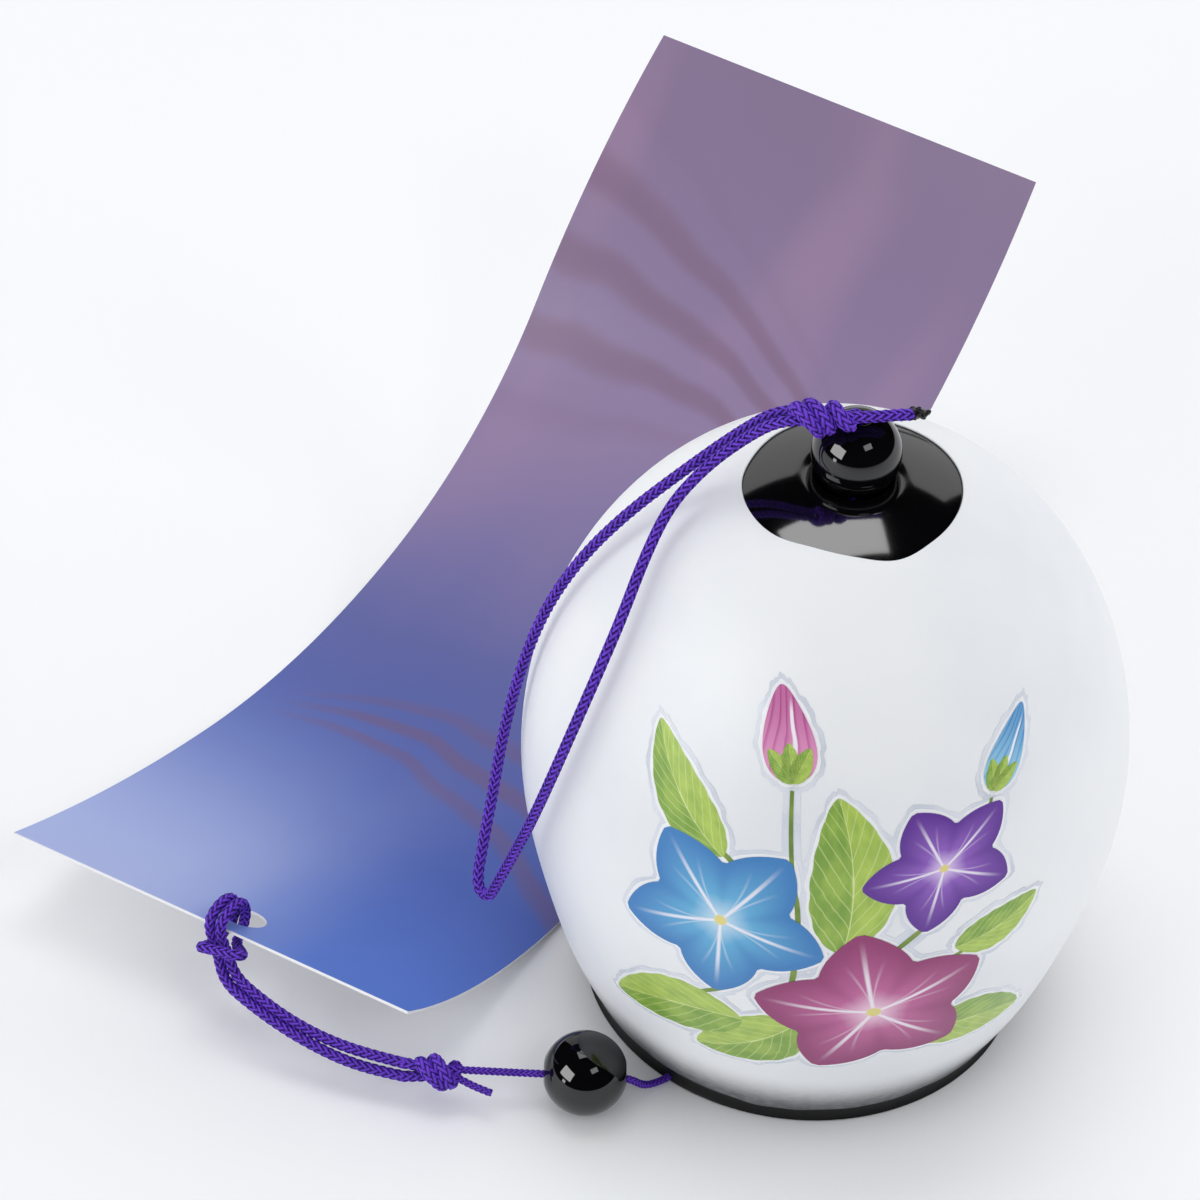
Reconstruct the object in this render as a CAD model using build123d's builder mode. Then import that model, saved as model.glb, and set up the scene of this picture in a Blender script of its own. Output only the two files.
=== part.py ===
"""Furin wind bell: a coated glass bell with its beads, knots, cords and paper strip.

Millimetres, +Z up. The origin is the centre of the open mouth, on the surface that the bell stands on,
and the photograph looks along +Y from the front.
"""
import os
from math import acos, cos, degrees, pi, radians, sin, sqrt, tan

from build123d import *

os.makedirs("parts", exist_ok=True)

# Glass bell and its white coat
bell_height = 78.6
bell_radius = 35.0
belly_height = 36.4
mouth_radius = 26.2
wall = 2.0
coat = 0.25
lip_band = 1.35
lip_round = 0.45
crown_hole = 8.4
crown_round = 0.4
side_height_share = 0.51
side_swell_share = 0.67
mouth_lean_share = 0.42
crown_steps = 6

# Bare crown patch: its outline wanders about a circle, as a hand-cut mask does
patch_radius = 12.0
patch_depth_share = 0.25
patch_wander_shares = (
    1.01, 1.04, 1.05, 1.02, 0.98, 0.97, 0.97, 0.97, 1.01, 1.02, 1.01, 0.955, 0.97, 1.03, 0.995, 0.99,
)

# Beads
bead_size = 10.0
bead_bore = 2.2
bore_round = 0.3
seat_gap = 0.15

# Cords
loop_cord = 1.4
thin_cord = 0.95
corner_share = 0.45
floor_gap = 0.05

# Knot of the hanging loop, lying on the crown bead
loop_knot_length = 6.8
loop_knot_thick = 4.4
loop_knot_left = 4.3
loop_knot_front = 2.5
loop_knot_rise = 6.58
loop_knot_run = Vector(1.0, 0.06, 0.02)
knot_wrap_tilt = 24.0
knot_wrap_share = 0.17
knot_end_share = 0.6
cord_leaves_knot_share = 0.25
tip_round_share = 0.25

# Stop inside the bell, and how far the cord slides before it meets the crown
hanger_travel = 13.04
stop_knot_size = 3.2

# Lower knot and its cut tail
strip_knot_length = 6.4
strip_knot_thick = 4.4
strip_knot_left = 42.1
strip_knot_front = 25.9
strip_knot_height = 4.8
strip_knot_run = Vector(-1.0, 0.05, 0.0)
strip_knot_tail_right = 4.4
strip_knot_tail_front = 1.7
strip_knot_tail_drop = 1.1
strip_knot_tail_start_share = 0.25

# Clapper bead, on the straight stretch of thin cord
clapper_left = 25.36
clapper_front = 24.92
clapper_run = Vector(-0.9991, -0.0422, 0.0)

# Paper strip: a level curl, set out from its near right corner
strip_width = 54.8
strip_length = 158.8
strip_paper = 0.35
strip_corner_left = 46.4
strip_corner_front = 24.9
strip_heading = 59.3
near_slope = 33.0
near_curl_radius = 80.0
middle_curl_radius = 144.0
far_curl_radius = 72.0
curl_steps = 4
punch_size = 5.2
punch_margin = 1.8
punch_offset = -3.8

# Lark's head through the punched hole
hitch_ring_radius = 2.3
hitch_spacing = 1.6
hitch_bight_length = 6.6
hitch_bight_reach = 3.3
hitch_bight_drop = 18.0

# Routes of the cords, chosen by hand
loop_route = (
    (-8.7, -0.9, 87.2), (-12.9, 0.5, 82.4), (-18.6, 0.2, 76.6), (-24.4, -0.2, 70.4), (-29.2, -0.4, 63.6),
    (-32.9, -0.8, 56.0), (-35.3, -2.2, 48.0), (-36.9, -3.9, 39.8), (-37.9, -6.9, 31.6), (-38.7, -10.1, 26.6),
    (-39.2, -13.0, 22.9), (-37.6, -14.7, 22.7), (-36.6, -15.6, 26.6), (-35.0, -16.5, 32.0),
    (-33.0, -18.2, 39.6), (-31.0, -19.0, 47.4), (-28.9, -18.4, 54.6), (-26.6, -16.4, 61.2),
    (-24.4, -13.3, 66.6), (-22.4, -8.4, 70.8), (-20.0, -3.9, 74.8), (-16.4, -2.0, 79.1),
    (-12.5, -1.7, 83.2), (-8.7, -2.6, 87.1),
)
near_end_route = ((-1.7, -2.8, 88.0), (2.0, -2.4, 88.2), (5.4, -1.5, 87.9))
far_end_route = ((-1.7, -1.6, 87.0), (1.7, -1.3, 87.2), (4.9, -0.3, 86.9))
rim_route = (
    (0.0, 0.0, 51.2), (0.4, -0.3, 45.0), (0.9, -1.2, 36.5), (0.6, -2.6, 27.5), (-0.6, -4.6, 18.5),
    (-2.8, -7.6, 10.0), (-6.0, -11.8, 4.0), (-10.2, -15.8, 0.72), (-13.9, -19.6, 0.53),
    (-17.0, -22.6, 0.62), (-18.4, -23.9, 2.3), (-19.3, -24.6, 4.5), (-21.2, -24.74, 5.0),
    (-40.3, -25.55, 5.0),
)
back_strand_route = (
    (-46.3, -25.6, 5.65), (-50.2, -24.3, 5.7), (-54.4, -22.9, 6.1), (-58.4, -21.5, 7.0), (-62.0, -19.9, 8.4),
    (-64.2, -18.5, 9.5), (-66.3, -16.7, 10.5),
)
front_strand_route = (
    (-46.3, -26.3, 4.15), (-50.0, -25.9, 4.3), (-54.2, -24.9, 4.8), (-58.2, -23.4, 5.8), (-61.9, -21.4, 7.3),
    (-65.0, -19.2, 8.8), (-67.8, -16.8, 10.1),
)

# Worked out from the sizes above
crown_rise = bell_height - belly_height
side_height = side_height_share * belly_height
side_radius = mouth_radius + side_swell_share * (bell_radius - mouth_radius)
bead_radius = bead_size / 2
hole_radius = crown_hole / 2
seat_reach = sqrt((bead_radius + seat_gap) ** 2 - hole_radius**2)


def crown_height(inset, radius):
    """Height of the bell's upper skin at a radius, for a skin set in from the outside."""
    return belly_height + (crown_rise - inset) * sqrt(1 - (radius / (bell_radius - inset)) ** 2)


crown_bead_height = crown_height(coat, hole_radius) + seat_reach
stop_height = crown_height(coat + wall, hole_radius) - seat_reach - hanger_travel
loop_knot_centre = Vector(-loop_knot_left, -loop_knot_front, crown_bead_height + loop_knot_rise)
strip_knot_centre = Vector(-strip_knot_left, -strip_knot_front, strip_knot_height)
strip_knot_tail = Vector(strip_knot_tail_right, -strip_knot_tail_front, -strip_knot_tail_drop)
clapper_centre = Vector(-clapper_left, -clapper_front, bead_radius)
strip_corner = Vector(-strip_corner_left, -strip_corner_front, 0)


def bell_skin(inset):
    """Draw one skin of the bell from the mouth up to the crown hole, set in from the outside."""
    girth = bell_radius - inset
    rise = crown_rise - inset
    top = acos(hole_radius / girth)
    crown_points = []
    for step in range(crown_steps + 1):
        lift = top * step / crown_steps
        crown_points.append((girth * cos(lift), belly_height + rise * sin(lift)))
    Spline(
        (mouth_radius - inset, 0),
        (side_radius - inset, side_height),
        *crown_points,
        tangents=[(mouth_lean_share, 1), (-girth * sin(top), rise * cos(top))],
    )


def bell_section(outer, inner):
    """Draw the section between two skins of the bell, open at the mouth and at the crown hole."""
    bell_skin(outer)
    bell_skin(inner)
    Line((mouth_radius - outer, 0), (mouth_radius - inner, 0))
    Line((hole_radius, crown_height(outer, hole_radius)), (hole_radius, crown_height(inner, hole_radius)))


def corner_radii(points):
    """Radii of a cord's bends, each as large as its two runs allow."""
    stops = [Vector(point) for point in points]
    radii = []
    for before, corner, after in zip(stops, stops[1:], stops[2:]):
        arrive = corner - before
        leave = after - corner
        turn = radians(arrive.get_angle(leave))
        radii.append(corner_share * min(arrive.length, leave.length) / tan(turn / 2))
    return radii


def cord_tube(name, points, thickness):
    """Sweep one cord along its route and report its bends and volume."""
    radii = corner_radii(points)
    with BuildPart() as tube:
        with BuildLine() as path:
            FilletPolyline(*points, radius=radii)
        with BuildSketch(Plane(origin=path.line @ 0, z_dir=path.line % 0)):
            Circle(thickness / 2)
        sweep(path=path.line)
    length = sum(edge.length for edge in path.edges())
    plain = pi * thickness**2 / 4 * length
    print(f"{name} length {length:.1f} tightest bend {min(radii):.2f}")
    print(f"{name} volume {tube.part.volume:.2f} of section times length {plain:.2f}")
    return tube


def bead_on(plane):
    """Turn one bead about a plane's axis, bored along it."""
    with BuildPart(plane) as bead:
        Sphere(bead_radius)
        Cylinder(bead_bore / 2, bead_size, mode=Mode.SUBTRACT)
        fillet(bead.edges().filter_by(lambda edge: edge.is_closed), bore_round)
    return bead


def knot_on(centre, run, length, thick, cord):
    """Build one overhand knot: a rounded core with two crossed wraps of cord."""
    along = run.normalized()
    side = along.cross(Vector(0, 0, 1)).normalized()
    core_radius = (thick - cord) / 2
    with BuildPart() as knot:
        with Locations(Plane(origin=centre, z_dir=along)):
            Cylinder(core_radius, length)
        fillet(knot.edges().filter_by(GeomType.CIRCLE), knot_end_share * core_radius)
        for way in (-1, 1):
            wrap_axis = along.rotate(Axis((0, 0, 0), side), way * knot_wrap_tilt)
            wrap_centre = centre + along * (way * knot_wrap_share * length)
            with Locations(Plane(origin=wrap_centre, z_dir=wrap_axis)):
                Torus(core_radius, cord / 2)
    return knot


def finish(builder, name):
    """Label one piece and write it."""
    builder.part.label = name
    export_step(builder.part, f"parts/{name}.step")


# Glass bell
with BuildPart() as glass_body:
    with BuildSketch(Plane.XZ) as glass_section:
        with BuildLine():
            bell_section(coat, coat + wall)
        make_face()
        fillet(glass_section.vertices().group_by(Axis.Y)[0], lip_round)
        fillet(glass_section.vertices().group_by(Axis.X)[0], crown_round)
    revolve(axis=Axis.Z)
finish(glass_body, "glass_body")

# White coat, stopping above the lip and round the bare crown patch
patch_count = len(patch_wander_shares)
patch_points = []
for place, wander_share in enumerate(patch_wander_shares):
    bearing = 2 * pi * place / patch_count
    reach = patch_radius * wander_share
    patch_points.append((reach * cos(bearing), reach * sin(bearing)))

with BuildPart() as white_coat:
    with BuildSketch(Plane.XZ):
        with BuildLine():
            bell_section(0, coat)
        make_face()
    revolve(axis=Axis.Z)
    split(bisect_by=Plane.XY.offset(lip_band), keep=Keep.TOP)
    with BuildSketch(Plane.XY.offset(bell_height)):
        with BuildLine():
            Spline(*patch_points, periodic=True)
        make_face()
    extrude(amount=-patch_depth_share * crown_rise, mode=Mode.SUBTRACT)
finish(white_coat, "white_coat")

# Beads
crown_bead = bead_on(Plane(origin=(0, 0, crown_bead_height)))
finish(crown_bead, "crown_bead")
stop_bead = bead_on(Plane(origin=(0, 0, stop_height)))
finish(stop_bead, "stop_bead")
clapper_bead = bead_on(Plane(origin=clapper_centre, z_dir=clapper_run))
finish(clapper_bead, "clapper_bead")

# Knot and loop to hang the bell by
loop_knot = knot_on(loop_knot_centre, loop_knot_run, loop_knot_length, loop_knot_thick, loop_cord)
finish(loop_knot, "loop_knot")
hanging_loop = cord_tube("hanging_loop", loop_route, loop_cord)
finish(hanging_loop, "hanging_loop")

# Cut ends of the loop, with their melted tips
with BuildPart() as loop_ends:
    for end_route in (near_end_route, far_end_route):
        add(cord_tube("loop_end", end_route, loop_cord).part)
finish(loop_ends, "loop_ends")

with BuildPart() as burnt_tips:
    for end_route in (near_end_route, far_end_route):
        heading = (Vector(end_route[-1]) - Vector(end_route[-2])).normalized()
        with BuildSketch(Plane(origin=end_route[-1], z_dir=heading)):
            Circle(loop_cord / 2)
        extrude(amount=loop_cord)
    fillet(burnt_tips.edges().filter_by(GeomType.CIRCLE).group_by(Axis.X)[-1], tip_round_share * loop_cord)
finish(burnt_tips, "burnt_tips")

# Thin cord through the crown bead to the stop inside
stop_knot_height = stop_height - bead_radius - seat_gap - stop_knot_size / 2
crown_route = (
    loop_knot_centre + loop_knot_run * (cord_leaves_knot_share * loop_knot_length),
    (0, 0, crown_bead_height + bead_radius + thin_cord),
    (0, 0, stop_knot_height),
)
crown_cord_bend = thin_cord
with BuildPart() as crown_cord:
    with BuildLine() as crown_path:
        FilletPolyline(*crown_route, radius=crown_cord_bend)
    with BuildSketch(Plane(origin=crown_path.line @ 0, z_dir=crown_path.line % 0)):
        Circle(thin_cord / 2)
    sweep(path=crown_path.line)
finish(crown_cord, "crown_cord")
with BuildPart(Plane(origin=(0, 0, stop_knot_height))) as stop_knot:
    Sphere(stop_knot_size / 2)
finish(stop_knot, "stop_knot")

# Thin cord under the rim, through the clapper bead, to the lower knot
rim_cord = cord_tube("rim_cord", rim_route, thin_cord)
finish(rim_cord, "rim_cord")

tail_start = strip_knot_centre - strip_knot_run * (strip_knot_tail_start_share * strip_knot_length)
with BuildPart() as strip_knot:
    add(knot_on(strip_knot_centre, strip_knot_run, strip_knot_length, strip_knot_thick, loop_cord).part)
    with BuildSketch(Plane(origin=tail_start, z_dir=strip_knot_tail)):
        Circle(thin_cord / 2)
    extrude(amount=strip_knot_tail.length)
finish(strip_knot, "strip_knot")

# Doubled cord from the lower knot up to the strip
with BuildPart() as strip_cord:
    for strand_route in (back_strand_route, front_strand_route):
        add(cord_tube("strip_strand", strand_route, loop_cord).part)
finish(strip_cord, "strip_cord")

# Paper strip: arcs of one length, then a straight end, cut to thickness and extruded across
ahead = Vector(cos(radians(strip_heading)), sin(radians(strip_heading)), 0)
across = Vector(-ahead.Y, ahead.X, 0)
step_length = strip_length / curl_steps
with BuildLine() as strip_curl:
    near_arc = JernArc(
        (0, 0), (cos(radians(near_slope)), -sin(radians(near_slope))), near_curl_radius,
        degrees(step_length / near_curl_radius),
    )
    middle_arc = JernArc(
        near_arc @ 1, near_arc % 1, middle_curl_radius, degrees(step_length / middle_curl_radius),
    )
    far_arc = JernArc(
        middle_arc @ 1, middle_arc % 1, far_curl_radius, degrees(step_length / far_curl_radius),
    )
    Line(far_arc @ 1, far_arc @ 1 + far_arc % 1 * step_length)
near_edge_height = floor_gap - strip_curl.line.bounding_box().min.Y
near_corner = strip_corner + Vector(0, 0, near_edge_height)
strip_plane = Plane(origin=near_corner + across * strip_width, x_dir=ahead, z_dir=-across)
near_tangent = ahead * cos(radians(near_slope)) - Vector(0, 0, sin(radians(near_slope)))
paper_normal = near_tangent.cross(-across)
edge_middle = near_corner + across * (strip_width / 2 + punch_offset)
punch_centre = edge_middle + near_tangent * (punch_margin + punch_size / 2)

with BuildPart() as paper_strip:
    with BuildSketch(strip_plane):
        with BuildLine():
            add(strip_curl.line)
            offset(amount=strip_paper, side=Side.LEFT)
        make_face()
    extrude(amount=strip_width)
    with BuildSketch(Plane(origin=punch_centre, z_dir=paper_normal)):
        Circle(punch_size / 2)
    extrude(amount=punch_size / 2, both=True, mode=Mode.SUBTRACT)
finish(paper_strip, "paper_strip")

# Lark's head: two rings round the strip's margin, held by the bight across them
margin_centre = edge_middle + near_tangent * (punch_margin / 2) + Vector(0, 0, strip_paper / 2)
bight_way = -ahead * cos(radians(hitch_bight_drop)) - Vector(0, 0, sin(radians(hitch_bight_drop)))
bight_centre = margin_centre + bight_way * hitch_bight_reach
with BuildPart() as strip_hitch:
    for way in (-1, 1):
        with Locations(Plane(origin=margin_centre + across * (way * hitch_spacing / 2), z_dir=across)):
            Torus(hitch_ring_radius, loop_cord / 2)
    with BuildSketch(Plane(origin=bight_centre - across * (hitch_bight_length / 2), z_dir=across)):
        Circle(loop_cord / 2)
    extrude(amount=hitch_bight_length)
finish(strip_hitch, "strip_hitch")

print(f"crown bead height {crown_bead_height:.3f} stop height {stop_height:.3f}")
print(f"near edge height {near_edge_height:.3f}")
print("bight centre", bight_centre)
print("punch centre", punch_centre)
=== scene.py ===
"""Looks of a furin wind bell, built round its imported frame.

Sizes are in millimetres, as the part's own are, and become metres where a mesh is made.
"""
from __future__ import annotations

import logging
import math
from dataclasses import dataclass
from enum import Enum
from typing import Any, Callable, Dict, List, Sequence, Tuple, Union

import bpy
import numpy as np
from mathutils import Matrix, Vector


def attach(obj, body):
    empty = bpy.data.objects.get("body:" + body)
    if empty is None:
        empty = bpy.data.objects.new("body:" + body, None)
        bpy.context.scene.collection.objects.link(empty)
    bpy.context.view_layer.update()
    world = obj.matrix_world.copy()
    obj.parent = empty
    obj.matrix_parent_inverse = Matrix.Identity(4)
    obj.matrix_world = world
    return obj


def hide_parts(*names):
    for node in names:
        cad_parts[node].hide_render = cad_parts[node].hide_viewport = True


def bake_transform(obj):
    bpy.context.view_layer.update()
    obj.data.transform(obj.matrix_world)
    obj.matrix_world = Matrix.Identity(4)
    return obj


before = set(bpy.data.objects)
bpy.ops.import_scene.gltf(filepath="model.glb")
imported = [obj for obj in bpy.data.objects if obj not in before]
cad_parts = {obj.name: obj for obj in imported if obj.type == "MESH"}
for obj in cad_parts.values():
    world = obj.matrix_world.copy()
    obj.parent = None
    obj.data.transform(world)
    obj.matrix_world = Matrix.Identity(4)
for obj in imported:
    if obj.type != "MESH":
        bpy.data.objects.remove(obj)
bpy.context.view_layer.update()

LOG = logging.getLogger("wind_bell")
MM = 0.001
FULL_TURN = 2 * math.pi

WELD = 0.01
INK_INDEX = 1.48

Point = Tuple[float, float, float]
Colour = Tuple[float, float, float, float]
Drawing = Callable[[np.ndarray, np.ndarray], np.ndarray]


class Body(Enum):
    """The bodies of the frame that pieces ride on."""

    BELL = "bell"
    HANGER = "hanger"
    LOOP = "loop"
    CROWN_BALL = "crown_ball"
    STOP_BALL = "stop_ball"
    CLAPPER = "clapper"
    TAIL = "tail"
    STRIP = "strip"


class Slot(Enum):
    """The record's material slots."""

    BLACK_GLASS = "black_glass"
    WHITE_COAT = "white_coat"
    BEAD = "bead"
    CORD = "cord"
    BURNT_CORD = "burnt_cord"
    PAPER = "paper"


class Wire:
    """One value between shader nodes. Arithmetic on it adds Math nodes."""

    def __init__(self, book: NodeBook, socket: bpy.types.NodeSocket) -> None:
        """Keep the socket, and the book that adds nodes to its tree."""
        self.book = book
        self.socket = socket

    def __add__(self, other: Number) -> Wire:
        """Add."""
        return self.book.math("ADD", self, other)

    def __radd__(self, other: Number) -> Wire:
        """Add to a plain number."""
        return self.book.math("ADD", other, self)

    def __sub__(self, other: Number) -> Wire:
        """Take away."""
        return self.book.math("SUBTRACT", self, other)

    def __rsub__(self, other: Number) -> Wire:
        """Take from a plain number."""
        return self.book.math("SUBTRACT", other, self)

    def __mul__(self, other: Number) -> Wire:
        """Multiply."""
        return self.book.math("MULTIPLY", self, other)

    def __rmul__(self, other: Number) -> Wire:
        """Multiply a plain number."""
        return self.book.math("MULTIPLY", other, self)

    def __truediv__(self, other: Number) -> Wire:
        """Divide."""
        return self.book.math("DIVIDE", self, other)

    def __pow__(self, other: Number) -> Wire:
        """Raise to a power."""
        return self.book.math("POWER", self, other)

    def __abs__(self) -> Wire:
        """Drop the sign."""
        return self.book.math("ABSOLUTE", self, 0.0)

    def sine(self) -> Wire:
        """Take the sine."""
        return self.book.math("SINE", self, 0.0)

    def fraction(self) -> Wire:
        """Keep what is past the whole number."""
        return self.book.math("FRACT", self, 0.0)

    def rise(self, low: float, high: float) -> Wire:
        """Climb smoothly from 0 at low to 1 at high, or fall where high is the lower.

        Args:
            low: Value where the result is 0.
            high: Value where the result is 1.

        Returns:
            The smooth step.
        """
        settings = {"interpolation_type": "SMOOTHSTEP"}
        return self.book.wire(
            "ShaderNodeMapRange", settings, {"Value": self, "From Min": low, "From Max": high}
        )


Number = Union[float, Wire]


class NodeBook:
    """Writes the nodes of one material."""

    MIX_FACTOR, MIX_A, MIX_B, MIX_RESULT = 0, 6, 7, 2

    def __init__(self, name: str) -> None:
        """Start an empty material."""
        self.material = bpy.data.materials.new(name)
        self.material.use_nodes = True
        self.tree = self.material.node_tree
        self.tree.nodes.clear()

    def node(
        self, kind: str, settings: Dict[str, Any], sockets: Dict[Union[str, int], Any]
    ) -> bpy.types.Node:
        """Add one node.

        Args:
            kind: The node's type.
            settings: Its properties, set first; "stops" holds a ramp's places and colours.
            sockets: Values or wires by the name or number of its inputs.

        Returns:
            The node.
        """
        made = self.tree.nodes.new(kind)
        for key, value in settings.items():
            if key == "stops":
                self._set_stops(made.color_ramp, value)
            else:
                setattr(made, key, value)
        for key, value in sockets.items():
            if isinstance(value, Wire):
                self.tree.links.new(value.socket, made.inputs[key])
            else:
                made.inputs[key].default_value = value
        return made

    @staticmethod
    def _set_stops(ramp: bpy.types.ColorRamp, stops: Sequence[Tuple[float, Colour]]) -> None:
        """Give a ramp its stops."""
        while len(ramp.elements) < len(stops):
            ramp.elements.new(1.0)
        for element, (place, colour) in zip(ramp.elements, stops):
            element.position = place
            element.color = colour

    def wire(
        self, kind: str, settings: Dict[str, Any], sockets: Dict[Union[str, int], Any], output: Any = 0
    ) -> Wire:
        """Add one node and return one of its outputs."""
        return Wire(self, self.node(kind, settings, sockets).outputs[output])

    def math(self, operation: str, first: Number, second: Number) -> Wire:
        """Add one Math node."""
        return self.wire("ShaderNodeMath", {"operation": operation}, {0: first, 1: second})

    def mix(self, factor: Number, first: Any, second: Any) -> Wire:
        """Mix two colours."""
        sockets = {self.MIX_FACTOR: factor, self.MIX_A: first, self.MIX_B: second}
        return self.wire("ShaderNodeMix", {"data_type": "RGBA"}, sockets, self.MIX_RESULT)

    def ramp(self, factor: Wire, stops: Sequence[Tuple[float, Colour]]) -> Wire:
        """Colour a value by a ramp's stops."""
        return self.wire("ShaderNodeValToRGB", {"stops": stops}, {"Fac": factor}, "Color")

    def place(self, output: str) -> Wire:
        """Read the surface's Object or UV place."""
        return self.wire("ShaderNodeTexCoord", {}, {}, output)

    def split(self, vector: Wire) -> List[Wire]:
        """Take a vector apart."""
        apart = self.node("ShaderNodeSeparateXYZ", {}, {"Vector": vector})
        return [Wire(self, socket) for socket in apart.outputs]

    def join(self, x: Number, y: Number, z: Number) -> Wire:
        """Put a vector together."""
        return self.wire("ShaderNodeCombineXYZ", {}, {"X": x, "Y": y, "Z": z})

    def noise(self, place: Wire, scale: float, detail: float = 2.0, roughness: float = 0.5) -> Wire:
        """Read a noise's value."""
        sockets = {"Vector": place, "Scale": scale, "Detail": detail, "Roughness": roughness}
        return self.wire("ShaderNodeTexNoise", {}, sockets, 0)

    def cells(self, place: Wire, scale: float) -> Wire:
        """Read the distance to the nearest of scattered points."""
        return self.wire("ShaderNodeTexVoronoi", {}, {"Vector": place, "Scale": scale}, "Distance")

    def bump(self, height: Wire, strength: float, distance: float) -> Wire:
        """Turn a height into a normal."""
        sockets = {"Height": height, "Strength": strength, "Distance": distance}
        return self.wire("ShaderNodeBump", {}, sockets)

    def surface(self, sockets: Dict[str, Any]) -> bpy.types.Material:
        """Finish the material with one principled shader."""
        shader = self.wire("ShaderNodeBsdfPrincipled", {}, sockets)
        self.node("ShaderNodeOutputMaterial", {}, {"Surface": shader})
        return self.material


def tint(red: float, green: float, blue: float) -> Colour:
    """Make a colour from its screen values of 0 to 255.

    Args:
        red: Red on screen.
        green: Green on screen.
        blue: Blue on screen.

    Returns:
        The colour in linear light.
    """
    knee, slope, lift, power = 0.04045, 12.92, 0.055, 2.4
    shares = [value / 255 for value in (red, green, blue)]
    linear = [share / slope if share <= knee else ((share + lift) / (1 + lift)) ** power for share in shares]
    return (linear[0], linear[1], linear[2], 1.0)


@dataclass(frozen=True)
class BlackGloss:
    """Black glass or lacquer, with faint smears, dust and a slow ripple."""

    name: str
    colour: Colour
    ripple: float
    index: float = 1.75
    dullness: float = 0.015
    dust: Colour = tint(150, 150, 155)

    def material(self) -> bpy.types.Material:
        """Write the finish."""
        book = NodeBook(self.name)
        place = book.place("Object")
        smear = book.noise(place, scale=160.0, detail=4.0, roughness=0.6)
        speck = book.cells(place, 420.0).rise(0.06, 0.02) * book.noise(place, scale=90.0).rise(0.56, 0.7)
        wave = book.noise(place, scale=55.0, detail=1.0)
        return book.surface({
            "Base Color": book.mix(speck * 0.6, self.colour, self.dust),
            "Roughness": smear * 0.05 + speck * 0.5 + self.dullness,
            "IOR": self.index,
            "Normal": book.bump(wave, strength=self.ripple, distance=0.0006),
        })


@dataclass(frozen=True)
class MattCoat:
    """Matt sprayed coat with its fine grain and stray specks, and painted shade greying it down to the lip.
    """

    name: str = "matt_white_coat"
    colour: Colour = tint(237, 239, 241)
    shade: Colour = tint(228, 231, 235)
    speck: Colour = tint(120, 120, 122)
    # thin is the grey of the painted shade towards the lip; the two heights below bound that shade and the
    # share sets how strong it is.
    thin: Colour = tint(98, 99, 102)
    lip_shade_from: float = 12.5
    lip_shade_to: float = 2.6
    lip_shade_share: float = 0.82

    def material(self) -> bpy.types.Material:
        """Write the finish."""
        book = NodeBook(self.name)
        place = book.place("Object")
        cloud = book.noise(place, scale=38.0, detail=3.0)
        grain = book.noise(place, scale=5200.0, detail=2.0, roughness=0.7)
        mist = book.noise(place, scale=900.0, detail=2.0)
        speck = book.cells(place, 210.0).rise(0.045, 0.015) * book.noise(place, scale=70.0).rise(0.6, 0.68)
        spray = book.mix(cloud.rise(0.35, 0.75), self.colour, self.shade)
        _, _, height = book.split(place)
        # Painted shade: the coat greys from about 12.5 mm down to the lip, mottled by the mist noise.
        lip_shade_mask = height.rise(self.lip_shade_from * MM, self.lip_shade_to * MM) * (mist * 0.3 + self.lip_shade_share)
        spray = book.mix(lip_shade_mask, spray, self.thin)
        return book.surface({
            "Base Color": book.mix(speck * 0.7, spray, self.speck),
            "Roughness": mist * 0.12 + 0.42,
            "IOR": 1.46,
            "Normal": book.bump(grain + mist * 0.6, strength=0.22, distance=0.00006),
        })


@dataclass(frozen=True)
class BraidYarn:
    """Dyed yarn of the braided cord: filaments along each strand, a soft sheen, and painted light on each
    yarn's crest with painted shade on its sides.
    """

    name: str = "violet_yarn"
    # deep and light end the ramp: they carry the filament and dye tone, and also the painted shade and
    # painted light across each yarn.
    deep: Colour = tint(8, 1, 46)
    colour: Colour = tint(52, 14, 138)
    light: Colour = tint(118, 66, 222)

    def material(self) -> bpy.types.Material:
        """Write the finish."""
        book = NodeBook(self.name)
        along, around, _ = book.split(book.place("UV"))
        stretched = book.join(along * 1.6, around * 9.0, 0.0)
        filament = book.noise(stretched, scale=2.6, detail=3.0, roughness=0.65)
        dye = book.noise(book.place("Object"), scale=480.0, detail=2.0)
        # Painted light and shade: each yarn is lighter along its crest and darker on its sides and underside.
        painted_crest_light = (around * FULL_TURN).sine()
        shade = book.ramp(
            filament * 0.45 + dye * 0.15 + painted_crest_light * 0.6 - 0.16,
            [(0.2, self.deep), (0.5, self.colour), (0.78, self.light)],
        )
        return book.surface({
            "Base Color": shade,
            "Roughness": 0.55 + filament * 0.2,
            "Specular IOR Level": 0.25,
            "Sheen Weight": 0.02,
            "Sheen Roughness": 0.4,
            "Normal": book.bump(filament, strength=0.5, distance=0.00008),
        })


@dataclass(frozen=True)
class MeltedTip:
    """Cord end sealed by a flame: black, lumpy and half glossy."""

    name: str = "melted_tip"
    colour: Colour = tint(14, 11, 16)
    dye: Colour = tint(34, 18, 52)

    def material(self) -> bpy.types.Material:
        """Write the finish."""
        book = NodeBook(self.name)
        place = book.place("Object")
        lump = book.noise(place, scale=1400.0, detail=3.0)
        return book.surface({
            "Base Color": book.mix(lump.rise(0.55, 0.8), self.colour, self.dye),
            "Roughness": lump * 0.3 + 0.06,
            "Normal": book.bump(lump, strength=0.6, distance=0.0002),
        })


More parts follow.
